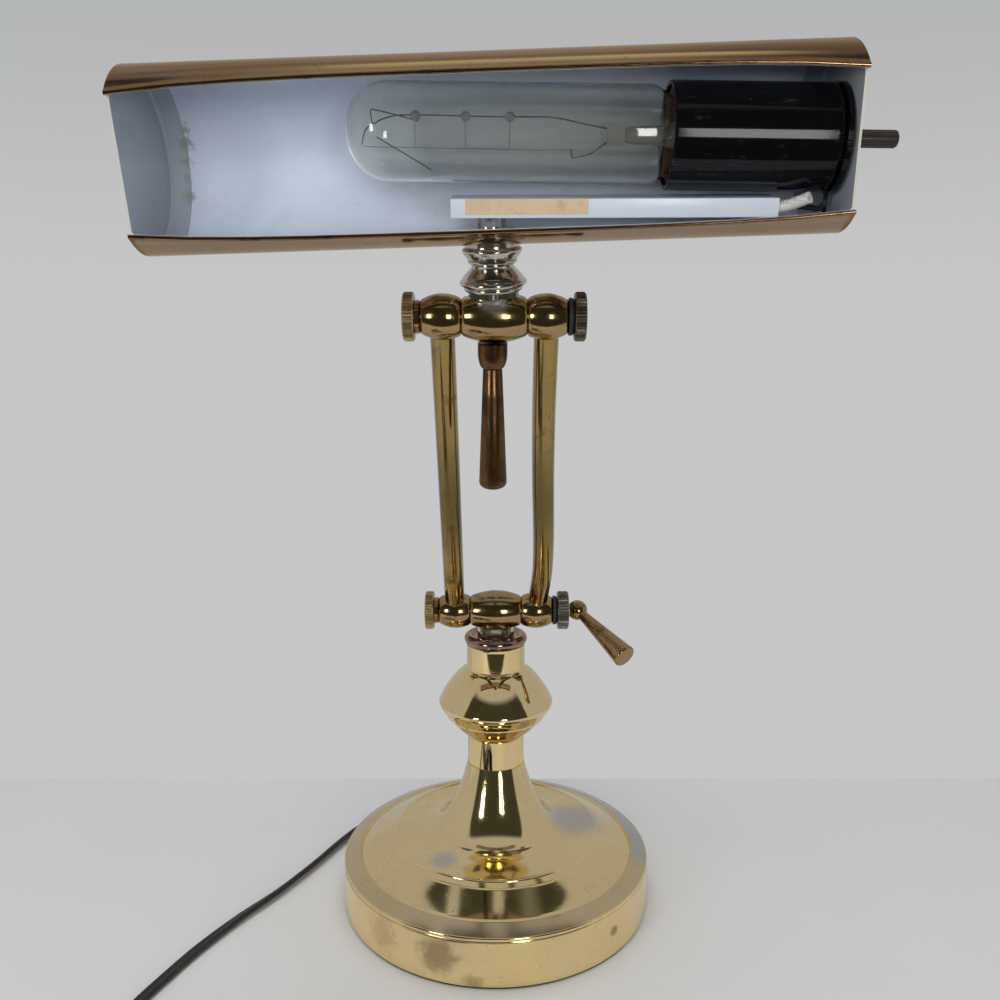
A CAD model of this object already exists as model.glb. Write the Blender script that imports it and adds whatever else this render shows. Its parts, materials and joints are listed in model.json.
"""Looks of a brass desk lamp: turned base and column, swing arms, trough shade, bulb, switch and cord."""

from __future__ import annotations

import functools
import json
import logging
import math
from dataclasses import dataclass
from enum import Enum
from typing import Any, Callable, Sequence

import bpy
from mathutils import Matrix, Vector

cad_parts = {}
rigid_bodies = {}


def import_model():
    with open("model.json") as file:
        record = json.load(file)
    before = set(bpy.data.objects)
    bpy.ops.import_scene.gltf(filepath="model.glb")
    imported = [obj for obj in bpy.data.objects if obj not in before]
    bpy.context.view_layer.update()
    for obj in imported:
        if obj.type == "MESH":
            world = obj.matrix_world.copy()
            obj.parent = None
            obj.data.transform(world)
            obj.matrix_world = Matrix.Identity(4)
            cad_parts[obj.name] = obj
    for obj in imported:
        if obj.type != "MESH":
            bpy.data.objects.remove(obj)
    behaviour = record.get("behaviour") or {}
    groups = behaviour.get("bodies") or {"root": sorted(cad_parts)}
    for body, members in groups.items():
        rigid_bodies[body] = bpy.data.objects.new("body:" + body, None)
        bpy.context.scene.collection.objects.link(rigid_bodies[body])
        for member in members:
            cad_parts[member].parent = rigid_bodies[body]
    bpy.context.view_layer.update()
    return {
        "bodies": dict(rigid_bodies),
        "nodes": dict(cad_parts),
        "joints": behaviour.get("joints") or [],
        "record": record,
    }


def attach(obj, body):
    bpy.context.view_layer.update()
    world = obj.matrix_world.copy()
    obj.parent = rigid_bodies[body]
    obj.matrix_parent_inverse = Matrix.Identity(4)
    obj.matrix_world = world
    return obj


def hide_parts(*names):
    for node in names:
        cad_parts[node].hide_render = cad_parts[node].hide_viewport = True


log = logging.getLogger("lamp")

MM = 0.001
Profile = list[tuple[float, float]]
Colour = tuple[float, float, float]


class Body(Enum):
    """The moving groups that modelled pieces ride on."""

    STAND = "stand"
    ARMS = "arms"
    HEAD = "head"
    SHADE = "shade"
    LEVER = "lever"


class Side(Enum):
    """The two ends of a pivot, seen from the front."""

    LEFT = -1
    RIGHT = 1


@dataclass(frozen=True)
class LampSizes:
    """Sizes of the lamp in millimetres and degrees, as in the part's source."""

    base_r: float = 74.2
    rim_h: float = 23.4
    rim_round: float = 4.4
    groove_r: float = 65.2
    ledge_rise: float = 3.3
    step_r: float = 52.5
    shoulder_rise: float = 6.7
    ring_r: float = 47.5
    ring_rise: float = 2.0
    neck_r: float = 13.7
    trumpet_rise: float = 34.8
    trumpet_ease: float = 1.7
    trumpet_power: int = 4
    shell_wall: float = 1.2
    felt_t: float = 1.0
    outlet_h: float = 9.0
    sleeve_r: float = 13.5
    sleeve_h: float = 14.2
    vase_r: float = 27.15
    vase_low_h: float = 18.0
    vase_high_h: float = 16.0
    collar_r: float = 13.8
    collar_h: float = 11.4
    flange_r: float = 14.9
    flange_h: float = 4.6
    dish_depth: float = 1.4
    lower_ring_h: float = 5.4
    pipe_r: float = 5.0
    knuckle_w: float = 24.0
    knuckle_r: float = 9.4
    knuckle_end_r: float = 7.0
    knuckle_seat: float = 7.2
    arm_l: float = 159.4
    arm_r: float = 4.6
    arm_root: float = 4.65
    arm_share: float = 0.48
    eye_w: float = 14.9
    eye_r: float = 8.4
    eye_inner_r: float = 7.0
    eye_outer_r: float = 6.2
    fit: float = 0.05
    washer_t: float = 2.0
    washer_r: float = 6.1
    dome_r: float = 6.8
    lever_nut_t: float = 5.2
    lever_ball_r: float = 4.7
    lever_sink: float = 0.3
    lever_l: float = 35.5
    lever_root_r: float = 2.4
    lever_end_r: float = 5.3
    lever_splay: float = 56.0
    lever_drop: float = 29.0
    ferrule_r: float = 5.5
    ferrule_h: float = 9.5
    handle_l: float = 47.4
    handle_top_r: float = 3.6
    handle_tip_r: float = 5.35
    handle_offset: float = 0.7
    upper_ring_h: float = 2.5
    cup_r: float = 12.1
    cup_h: float = 8.3
    waist_r: float = 7.6
    cap_r: float = 10.8
    cap_h: float = 7.7
    nipple_r: float = 4.0
    shade_r: float = 31.15
    shade_l: float = 240.0
    shade_wall: float = 0.8
    mouth_w: float = 45.6
    hem_d: float = 1.6
    cap_flange: float = 8.0
    raceway_l: float = 112.0
    raceway_w: float = 15.0
    raceway_h: float = 6.4
    raceway_lift: float = 8.9
    raceway_tilt: float = 1.7
    raceway_left: float = 13.0
    socket_r: float = 17.6
    socket_l: float = 55.8
    socket_wall: float = 1.5
    disc_z: float = 1.1
    disc_t: float = 1.8
    bulb_r: float = 16.2
    bulb_l: float = 119.0
    glass_t: float = 0.8
    screw_r: float = 13.0
    screw_back: float = 22.0
    screw_l: float = 24.0
    cord_w: float = 5.4
    cord_t: float = 2.8
    coil_in_turns: float = 4.0
    coil_out_turns: float = 2.9
    coil_r: float = 44.0
    relief_l: float = 22.0
    plug_l: float = 30.0
    plug_w: float = 24.0
    plug_h: float = 15.0
    arm_lean: float = 31.5
    head_tilt: float = 12.0
    stack_lean: float = 1.9
    holder_lift: float = 2.7

    @property
    def groove_z(self) -> float:
        """Height of the groove inside the rim ledge."""
        return self.rim_h + self.ledge_rise

    @property
    def step_z(self) -> float:
        """Height of the raised ring's outer edge."""
        return self.groove_z + self.shoulder_rise

    @property
    def ring_z(self) -> float:
        """Height where the trumpet starts."""
        return self.step_z + self.ring_rise

    @property
    def neck_z(self) -> float:
        """Height of the trumpet's top."""
        return self.ring_z + self.trumpet_rise

    @property
    def sleeve_top(self) -> float:
        """Height of the sleeve's top."""
        return self.neck_z + self.sleeve_h

    @property
    def vase_top(self) -> float:
        """Height of the vase's top."""
        return self.sleeve_top + self.vase_low_h + self.vase_high_h

    @property
    def flange_z(self) -> float:
        """Height of the rolled flange's foot."""
        return self.vase_top + self.collar_h

    @property
    def dish_z(self) -> float:
        """Height of the dish inside the flange."""
        return self.flange_z + self.flange_h - self.dish_depth

    @property
    def pivot_z(self) -> float:
        """Height of the lower pivot."""
        return self.dish_z + self.lower_ring_h + self.knuckle_seat

    @property
    def eye_near(self) -> float:
        """Distance along a pivot to the near face of an eye."""
        return self.knuckle_w / 2 + self.fit

    @property
    def eye_far(self) -> float:
        """Distance along a pivot to the far face of an eye."""
        return self.eye_near + self.eye_w

    @property
    def arm_x(self) -> float:
        """Distance along a pivot to an arm tube."""
        return self.eye_near + self.arm_share * self.eye_w

    @property
    def washer_x(self) -> float:
        """Distance along a pivot to a washer."""
        return self.eye_far + self.fit

    @property
    def nut_x(self) -> float:
        """Distance along a pivot to a nut."""
        return self.washer_x + self.washer_t + self.fit

    @property
    def lever_x(self) -> float:
        """Distance along the lower pivot to the lever's ball."""
        return self.nut_x + self.lever_nut_t + self.lever_ball_r - self.lever_sink

    @property
    def cup_z(self) -> float:
        """Distance from the upper pivot to the swivel cup."""
        return self.knuckle_seat + self.upper_ring_h

    @property
    def cap_z(self) -> float:
        """Distance from the upper pivot to the swivel cap."""
        return self.cup_z + self.cup_h + self.fit

    @property
    def shade_rise(self) -> float:
        """Distance from the upper pivot to the shade's axis."""
        return self.cap_z + self.cap_h + self.shade_r

    @property
    def shade_in_r(self) -> float:
        """Inner radius of the shade."""
        return self.shade_r - self.shade_wall

    @property
    def lip_y(self) -> float:
        """Distance from the shade's axis to the plane of its mouth."""
        return math.sqrt(self.shade_r**2 - (self.mouth_w / 2) ** 2)

    @property
    def raceway_z(self) -> float:
        """Height of the raceway's foot from the shade's axis."""
        return self.raceway_lift - self.shade_in_r

    @property
    def socket_z(self) -> float:
        """Distance from the end cap to the socket's back."""
        return self.disc_z + self.disc_t

    @property
    def socket_front(self) -> float:
        """Distance from the end cap to the socket's front."""
        return self.socket_z + self.socket_l

    @property
    def glass_z(self) -> float:
        """Distance from the end cap to the foot of the glass."""
        return self.socket_z + self.screw_back + self.screw_l

    @property
    def tip_z(self) -> float:
        """Distance from the end cap to the tip of the bulb."""
        return self.glass_z + self.bulb_l


SIZES = LampSizes()


def shift(x: float, y: float, z: float) -> Matrix:
    """Returns a move given in millimetres."""
    return Matrix.Translation((x * MM, y * MM, z * MM))


def turned_by(degrees: float, axis: str) -> Matrix:
    """Returns a turn about one of the axes."""
    return Matrix.Rotation(math.radians(degrees), 4, axis)


class Frames:
    """Places of the lamp's groups in the shared frame, in metres."""

    def __init__(self, sizes: LampSizes) -> None:
        """Works out each place from the sizes.

        Args:
            sizes: The lamp's sizes.
        """
        self.floor = Matrix.Identity(4)
        self.lower = shift(0, 0, sizes.pivot_z)
        self.arms = self.lower @ turned_by(sizes.arm_lean, "X")
        self.upper = self.arms @ shift(0, 0, sizes.arm_l) @ turned_by(sizes.head_tilt - sizes.arm_lean, "X")
        self.swivel = self.upper @ turned_by(-sizes.stack_lean, "Y")
        self.shade = self.swivel @ shift(0, 0, sizes.shade_rise)
        self.raceway = self.shade @ turned_by(sizes.raceway_tilt, "Y")
        cap = self.shade @ shift(sizes.shade_l / 2 - sizes.shade_wall, 0, 0)
        self.holder = cap @ turned_by(sizes.holder_lift - 90, "Y")
        self.handle = self.upper @ shift(-sizes.handle_offset, 0, 0) @ turned_by(180, "X")
        ball = self.lower @ shift(sizes.lever_x, 0, 0)
        swing = turned_by(sizes.lever_drop, "X") @ turned_by(-sizes.lever_splay, "Z")
        self.lever_ball = ball @ turned_by(90, "Y")
        self.lever = ball @ swing @ turned_by(90, "Y")

    @staticmethod
    def out_along(pivot: Matrix, distance: float, side: Side) -> Matrix:
        """Returns a place on a pivot whose Z runs outwards.

        Args:
            pivot: The pivot's place, with its axis along X.
            distance: Distance from the pivot's middle, in millimetres.
            side: The end of the pivot.

        Returns:
            The place as a matrix.
        """
        return pivot @ shift(side.value * distance, 0, 0) @ turned_by(side.value * 90, "Y")


FRAMES = Frames(SIZES)


def arc(centre: tuple[float, float], radii: tuple[float, float], start: float, end: float, steps: int) -> Profile:
    """Returns points on an elliptical arc of a profile.

    Args:
        centre: Centre of the arc, as radius and height.
        radii: Its two half axes.
        start: First angle in degrees.
        end: Last angle in degrees.
        steps: Number of pieces.

    Returns:
        The points in order.
    """
    angles = [math.radians(start + (end - start) * i / steps) for i in range(steps + 1)]
    return [(centre[0] + radii[0] * math.cos(a), centre[1] + radii[1] * math.sin(a)) for a in angles]


def flowing(points: Sequence[Sequence[float]], steps: int) -> list[tuple[float, ...]]:
    """Returns a smooth line through given points.

    Args:
        points: Points that the line passes through.
        steps: Pieces between two of them.

    Returns:
        The points of the line.
    """
    padded = [points[0], *points, points[-1]]
    line: list[tuple[float, ...]] = []
    for a, b, c, d in zip(padded, padded[1:], padded[2:], padded[3:]):
        for i in range(steps):
            t = i / steps
            line.append(
                tuple(
                    0.5 * (2 * q + (r - p) * t + (2 * p - 5 * q + 4 * r - s) * t**2 + (3 * q - p - 3 * r + s) * t**3)
                    for p, q, r, s in zip(a, b, c, d)
                )
            )
    line.append(tuple(points[-1]))
    return line


class Bench:
    """Ways of shaping a mesh with the modelling operators."""

    merge_gap = 2e-6
    facing = 0.9

    @staticmethod
    def edit() -> None:
        """Enters edit mode."""
        bpy.ops.object.mode_set(mode="EDIT")

    @staticmethod
    def leave() -> None:
        """Leaves edit mode."""
        bpy.ops.object.mode_set(mode="OBJECT")

    @staticmethod
    def clear() -> None:
        """Leaves edit mode and deselects everything."""
        if bpy.context.object is not None and bpy.context.object.mode != "OBJECT":
            Bench.leave()
        bpy.ops.object.select_all(action="DESELECT")

    @staticmethod
    def pick(obj: bpy.types.Object) -> None:
        """Makes one object the only selected and active one.

        Args:
            obj: The object.
        """
        Bench.clear()
        obj.select_set(True)
        bpy.context.view_layer.objects.active = obj

    @staticmethod
    def settle(obj: bpy.types.Object, place: Matrix, angle: float = 30.0) -> bpy.types.Object:
        """Moves a finished mesh to its place and smooths it.

        Args:
            obj: The object, shaped around the origin.
            place: Its place in the shared frame.
            angle: Edges sharper than this stay sharp, in degrees.

        Returns:
            The same object, with its place in its mesh.
        """
        Bench.move(obj, place)
        bpy.ops.object.shade_smooth_by_angle(angle=math.radians(angle))
        return obj

    @staticmethod
    def move(obj: bpy.types.Object, place: Matrix) -> None:
        """Moves a mesh, with its place in its points.

        Args:
            obj: The object, shaped around the origin.
            place: Its place in the shared frame.
        """
        Bench.pick(obj)
        obj.matrix_world = place
        bpy.ops.object.transform_apply(location=True, rotation=True, scale=True)

    @staticmethod
    def tidy_mesh() -> None:
        """Merges doubles and turns the faces outwards, in edit mode."""
        bpy.ops.mesh.select_all(action="SELECT")
        bpy.ops.mesh.remove_doubles(threshold=Bench.merge_gap)
        bpy.ops.mesh.normals_make_consistent(inside=False)

    @staticmethod
    def clean(obj: bpy.types.Object) -> None:
        """Merges a mesh's doubles and turns its faces outwards.

        Args:
            obj: The mesh, in object mode.
        """
        Bench.pick(obj)
        Bench.edit()
        Bench.tidy_mesh()
        Bench.leave()

    @staticmethod
    def choose(obj: bpy.types.Object, test: Callable[[Vector], bool]) -> None:
        """Selects faces by their normals and stays in edit mode.

        Args:
            obj: The piece, in object mode.
            test: Says of a face's normal whether the face is selected.
        """
        Bench.pick(obj)
        Bench.edit()
        bpy.ops.mesh.select_mode(type="FACE")
        bpy.ops.mesh.select_all(action="DESELECT")
        Bench.leave()
        for polygon in obj.data.polygons:
            polygon.select = test(polygon.normal)
        Bench.edit()

    @staticmethod
    def finish(obj: bpy.types.Object, kind: str, **settings: Any) -> None:
        """Adds a modifier with its settings and applies it.

        Args:
            obj: The piece.
            kind: The modifier's type.
            **settings: Properties of the modifier.
        """
        Bench.pick(obj)
        modifier = obj.modifiers.new(kind.lower(), kind)
        for key, value in settings.items():
            setattr(modifier, key, value)
        bpy.ops.object.modifier_apply(modifier=modifier.name)

    @staticmethod
    def draw(name: str, points: Sequence[tuple[float, float]]) -> bpy.types.Object:
        """Draws a profile as a chain of edges, and stays in edit mode.

        Args:
            name: Name of the new object.
            points: Radius and height of each point, in millimetres.

        Returns:
            The new object.
        """
        Bench.clear()
        bpy.ops.mesh.primitive_plane_add(size=MM)
        obj = bpy.context.object
        obj.name = name
        obj.data.name = name
        Bench.edit()
        bpy.ops.mesh.select_mode(type="VERT")
        bpy.ops.mesh.select_all(action="SELECT")
        bpy.ops.mesh.merge(type="CENTER")
        here = (0.0, 0.0)
        for i, there in enumerate(points):
            move = ((there[0] - here[0]) * MM, 0.0, (there[1] - here[1]) * MM)
            if i == 0:
                bpy.ops.transform.translate(value=move)
            else:
                bpy.ops.mesh.extrude_vertices_move(TRANSFORM_OT_translate={"value": move})
            here = there
        bpy.ops.mesh.select_all(action="SELECT")
        return obj

    @staticmethod
    def turn(
        name: str, profile: Profile, place: Matrix, steps: int = 96, angle: float = 30.0, closed: bool = False
    ) -> bpy.types.Object:
        """Turns a profile around Z, as on a lathe.

        Args:
            name: Name of the piece.
            profile: Radius and height of its points, in millimetres.
            place: The piece's place, with its axis along Z.
            steps: Pieces around the axis.
            angle: Edges sharper than this stay sharp, in degrees.
            closed: Whether the profile's ends are joined to each other.

        Returns:
            The finished mesh.
        """
        points = [*profile, profile[0]] if closed else profile
        obj = Bench.draw(name, points)
        bpy.ops.mesh.spin(steps=steps, angle=2 * math.pi, center=(0, 0, 0), axis=(0, 0, 1))
        Bench.tidy_mesh()
        Bench.leave()
        return Bench.settle(obj, place, angle)

    @staticmethod
    def cut(obj: bpy.types.Object, point: Vector, normal: Vector) -> None:
        """Cuts away what lies beyond a plane and closes the cut.

        Args:
            obj: The piece, already in its place.
            point: A point of the plane, in metres.
            normal: The plane's normal, towards the side that goes.
        """
        Bench.pick(obj)
        Bench.edit()
        bpy.ops.mesh.select_all(action="SELECT")
        bpy.ops.mesh.bisect(plane_co=point, plane_no=normal, use_fill=True, clear_outer=True)
        Bench.leave()

    @staticmethod
    def join(first: bpy.types.Object, *others: bpy.types.Object) -> bpy.types.Object:
        """Joins meshes.

        Args:
            first: The mesh that stays.
            *others: The meshes that become part of it.

        Returns:
            The first mesh.
        """
        Bench.pick(first)
        for other in others:
            other.select_set(True)
        bpy.ops.object.join()
        return first

    @staticmethod
    def bevel(obj: bpy.types.Object, width: float, segments: int = 2, angle: float = 40.0) -> None:
        """Rounds the sharp edges of a piece.

        Args:
            obj: The piece.
            width: Width of the rounding, in millimetres.
            segments: Steps across it.
            angle: Only edges sharper than this are rounded, in degrees.
        """
        limit = math.radians(angle)
        Bench.finish(obj, "BEVEL", width=width * MM, segments=segments, limit_method="ANGLE", angle_limit=limit)

    @staticmethod
    def wire(
        name: str, points: Sequence[Sequence[float]], radius: float, place: Matrix, steps: int = 6
    ) -> bpy.types.Object:
        """Draws a round wire along a smooth line.

        Args:
            name: Name of the piece.
            points: Points of its middle line, in millimetres.
            radius: Its radius in millimetres.
            place: The piece's place.
            steps: Pieces between two points.

        Returns:
            The wire as a mesh.
        """
        Bench.clear()
        line = flowing(points, steps)
        curve = bpy.data.curves.new(name, "CURVE")
        curve.dimensions = "3D"
        curve.bevel_depth = radius * MM
        curve.bevel_resolution = 4
        curve.use_fill_caps = True
        spline = curve.splines.new("POLY")
        spline.points.add(len(line) - 1)
        for point, (x, y, z) in zip(spline.points, line):
            point.co = (x * MM, y * MM, z * MM, 1.0)
        obj = bpy.data.objects.new(name, curve)
        bpy.context.collection.objects.link(obj)
        Bench.pick(obj)
        bpy.ops.object.convert(target="MESH")
        obj = bpy.context.object
        obj.name = name
        Bench.clean(obj)
        return Bench.settle(obj, place, 50.0)

    @staticmethod
    def slab(name: str, low: Sequence[float], high: Sequence[float]) -> bpy.types.Object:
        """Adds a box between two corners and stays in object mode.

        Args:
            name: Name of the piece.
            low: Its lowest corner in millimetres.
            high: Its highest corner in millimetres.

        Returns:
            The box, with its size in its mesh.
        """
        Bench.clear()
        bpy.ops.mesh.primitive_cube_add(size=1.0)
        obj = bpy.context.object
        obj.name = name
        obj.data.name = name
        obj.scale = [(h - l) * MM for l, h in zip(low, high)]
        obj.location = [(h + l) / 2 * MM for l, h in zip(low, high)]
        bpy.ops.object.transform_apply(location=True, rotation=True, scale=True)
        return obj


class Graph:
    """A short way of writing shader nodes, whose inputs are values or sockets."""

    def __init__(self, tree: bpy.types.NodeTree) -> None:
        """Keeps the tree that the nodes go in."""
        self.tree = tree

    def add(self, kind: str, inputs: dict[str | int, Any] | None = None, **settings: Any) -> bpy.types.Node:
        """Adds a node.

        Args:
            kind: The node's type.
            inputs: Values or sockets for its inputs, by name or number.
            **settings: Properties of the node.

        Returns:
            The node.
        """
        node = self.tree.nodes.new(kind)
        for key, value in settings.items():
            setattr(node, key, value)
        for key, value in (inputs or {}).items():
            if isinstance(value, bpy.types.NodeSocket):
                self.tree.links.new(value, node.inputs[key])
            else:
                node.inputs[key].default_value = value
        return node

    def noise(self, vector: Any, scale: Any, detail: float = 3.0, rough: float = 0.55, bend: float = 0.0) -> Any:
        """Adds noise and returns its value socket."""
        given = {"Vector": vector, "Scale": scale, "Detail": detail, "Roughness": rough, "Distortion": bend}
        return self.add("ShaderNodeTexNoise", given).outputs["Fac"]

    def math(self, operation: str, first: Any, second: Any = 0.0, clamp: bool = False) -> Any:
        """Adds a math node and returns its socket."""
        node = self.add("ShaderNodeMath", {0: first, 1: second}, operation=operation, use_clamp=clamp)
        return node.outputs[0]

    def times(self, first: Any, second: Any) -> Any:
        """Multiplies two values and returns the socket."""
        return self.math("MULTIPLY", first, second)

    def plus(self, first: Any, second: Any) -> Any:
        """Adds two values and returns the socket."""
        return self.math("ADD", first, second)

    def minus(self, first: Any, second: Any) -> Any:
        """Takes one value from another and returns the socket."""
        return self.math("SUBTRACT", first, second)

    def span(self, value: Any, low: float, high: float, to_low: float = 0.0, to_high: float = 1.0) -> Any:
        """Maps a range of a value smoothly to another and returns the socket."""
        given = {"Value": value, "From Min": low, "From Max": high, "To Min": to_low, "To Max": to_high}
        return self.add("ShaderNodeMapRange", given, interpolation_type="SMOOTHSTEP").outputs["Result"]

    def mix(self, factor: Any, first: Any, second: Any) -> Any:
        """Mixes two colours, given as tuples or sockets, and returns the socket."""
        whole = [(*c, 1.0) if isinstance(c, tuple) else c for c in (first, second)]
        return self.add("ShaderNodeMix", {0: factor, 6: whole[0], 7: whole[1]}, data_type="RGBA").outputs[2]

    def stretched(self, vector: Any, scale: Sequence[float], turn: Sequence[float] = (0.0, 0.0, 0.0)) -> Any:
        """Scales and turns coordinates and returns the socket."""
        given = {"Vector": vector, "Rotation": tuple(turn), "Scale": tuple(scale)}
        return self.add("ShaderNodeMapping", given, vector_type="POINT").outputs["Vector"]

    def group(self, tree: bpy.types.NodeTree, inputs: dict[str | int, Any]) -> Any:
        """Places a node group with its own values and returns its socket."""
        return self.add("ShaderNodeGroup", inputs, node_tree=tree).outputs[0]

    def bump(self, height: Any, strength: float, distance: float) -> Any:
        """Adds a bump of a given depth in millimetres and returns its normal."""
        node = self.add("ShaderNodeBump", {"Height": height, "Strength": strength, "Distance": distance * MM})
        return node.outputs["Normal"]


class Effects:
    """Shader node groups that several finishes share."""

    def __init__(self) -> None:
        """Builds every group once."""
        self.patch = self.make_patch()
        self.clouds = self.make_clouds()
        self.scuffs = self.make_scuffs()
        self.pits = self.make_pits()

    @staticmethod
    def start(name: str, vectors: Sequence[str], values: Sequence[str], result: str = "Mask") -> tuple[Graph, Any]:
        """Starts a group with its sockets.

        Args:
            name: Name of the group.
            vectors: Names of its vector inputs.
            values: Names of its value inputs.
            result: Name of its output.

        Returns:
            The graph and the sockets of the group's inputs.
        """
        tree = bpy.data.node_groups.new(name, "ShaderNodeTree")
        for kind, keys in (("NodeSocketVector", vectors), ("NodeSocketFloat", values)):
            for key in keys:
                tree.interface.new_socket(name=key, in_out="INPUT", socket_type=kind)
        tree.interface.new_socket(name=result, in_out="OUTPUT", socket_type="NodeSocketFloat")
        graph = Graph(tree)
        return graph, graph.add("NodeGroupInput").outputs

    @staticmethod
    def end(graph: Graph, result: Any) -> bpy.types.NodeTree:
        """Links a group's result to its output and returns the group."""
        graph.add("NodeGroupOutput", {0: result})
        return graph.tree

    @staticmethod
    def make_patch() -> bpy.types.NodeTree:
        """Makes a ragged round patch around a point.

        Returns:
            The group, whose result is the patch's mask.
        """
        g, given = Effects.start("worn_patch", ("Vector", "Centre"), ("Radius", "Ragged", "Grain"))
        gap = g.add("ShaderNodeVectorMath", {0: given["Vector"], 1: given["Centre"]}, operation="DISTANCE")
        noise = g.noise(given["Vector"], given["Grain"], 5.0, 0.65)
        wander = g.times(g.minus(noise, 0.5), given["Ragged"])
        reach = g.math("DIVIDE", g.plus(gap.outputs["Value"], wander), given["Radius"])
        return Effects.end(g, g.span(reach, 1.1, 0.35))

    @staticmethod
    def make_clouds() -> bpy.types.NodeTree:
        """Makes soft clouds between two values.

        Returns:
            The group, whose result is the value.
        """
        g, given = Effects.start("clouds", ("Vector",), ("Scale", "Low", "High"), "Value")
        noise = g.noise(given["Vector"], given["Scale"], 5.0, 0.6, 0.4)
        ends = {"From Min": 0.3, "From Max": 0.7, "To Min": given["Low"], "To Max": given["High"]}
        return Effects.end(g, g.add("ShaderNodeMapRange", {"Value": noise, **ends}).outputs["Result"])

    @staticmethod
    def make_scuffs() -> bpy.types.NodeTree:
        """Makes fine scratches along the coordinates' X.

        Returns:
            The group, whose result is the scratches' mask.
        """
        g, given = Effects.start("scuffs", ("Vector",), ("Scale", "Amount"))
        noise = g.noise(g.stretched(given["Vector"], (0.06, 1.0, 1.0)), given["Scale"], 2.0, 0.5, 0.6)
        lines = g.span(g.math("ABSOLUTE", g.minus(noise, 0.5)), 0.02, 0.0)
        where = g.noise(given["Vector"], 90.0, 2.0)
        seen = g.times(lines, g.span(where, 0.5, 0.65))
        return Effects.end(g, g.times(seen, given["Amount"]))

    @staticmethod
    def make_pits() -> bpy.types.NodeTree:
        """Makes small dark pits in clusters.

        Returns:
            The group, whose result is the pits' mask.
        """
        g, given = Effects.start("pits", ("Vector",), ("Scale", "Cover"))
        cells = g.add("ShaderNodeTexVoronoi", {"Vector": given["Vector"], "Scale": given["Scale"]}, feature="F1")
        dots = g.span(cells.outputs["Distance"], 0.34, 0.12)
        where = g.noise(given["Vector"], 160.0, 3.0, 0.6)
        edge = g.minus(1.0, given["Cover"])
        inside = g.math("MULTIPLY", g.minus(where, edge), 12.0, clamp=True)
        return Effects.end(g, g.times(dots, inside))


@functools.cache
def shared_effects() -> Effects:
    """Returns the shared node groups, built at the first call."""
    return Effects()


class Finish:
    """A surface finish: a material whose colour, gloss and relief come from nodes."""

    def __init__(self, name: str) -> None:
        """Starts an empty material.

        Args:
            name: Name of the finish.
        """
        self.effects = shared_effects()
        self.material = bpy.data.materials.new(name)
        self.material.use_nodes = True
        self.graph = Graph(self.material.node_tree)
        self.shader = self.material.node_tree.nodes["Principled BSDF"]
        self.place = self.graph.add("ShaderNodeTexCoord").outputs["Object"]

    def set(self, **values: Any) -> None:
        """Sets plain values on the shader, with underscores for spaces."""
        for key, value in values.items():
            self.shader.inputs[key.replace("_", " ")].default_value = value

    def feed(self, **sockets: Any) -> None:
        """Links sockets to the shader, with underscores for spaces."""
        for key, socket in sockets.items():
            self.graph.tree.links.new(socket, self.shader.inputs[key.replace("_", " ")])

    def clouds(self, scale: float, low: float = 0.0, high: float = 1.0) -> Any:
        """Returns soft clouds over the surface."""
        given = {"Vector": self.place, "Scale": scale, "Low": low, "High": high}
        return self.graph.group(self.effects.clouds, given)

    def scuffs(self, scale: float, amount: float) -> Any:
        """Returns fine scratches over the surface."""
        return self.graph.group(self.effects.scuffs, {"Vector": self.place, "Scale": scale, "Amount": amount})

    def pits(self, scale: float, cover: float) -> Any:
        """Returns clusters of pits over the surface."""
        return self.graph.group(self.effects.pits, {"Vector": self.place, "Scale": scale, "Cover": cover})

    def patch(self, spot: Spot) -> Any:
        """Makes the mask of a worn place.

        Args:
            spot: The worn place.

        Returns:
            The mask's socket.
        """
        given = {"Vector": self.place, "Centre": tuple(c * MM for c in spot.centre), "Radius": spot.radius * MM}
        given |= {"Ragged": spot.ragged * MM, "Grain": spot.grain}
        return self.graph.times(self.graph.group(self.effects.patch, given), spot.strength)

    def worn(self, tone: Any, rough: Any, spots: Sequence[Spot]) -> tuple[Any, Any]:
        """Lays worn places over a finish.

        Args:
            tone: Socket of the colour so far.
            rough: Socket of the roughness so far.
            spots: The worn places.

        Returns:
            Sockets of the colour and the roughness.
        """
        g = self.graph
        for spot in spots:
            mask = self.patch(spot)
            tone = g.mix(mask, tone, spot.colour)
            rough = g.plus(rough, g.times(mask, spot.rough))
        return tone, rough


@dataclass(frozen=True)
class Spot:
    """A worn or tarnished place on a finish, in millimetres."""

    centre: tuple[float, float, float]
    radius: float
    colour: Colour
    rough: float
    ragged: float
    grain: float
    strength: float


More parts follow.
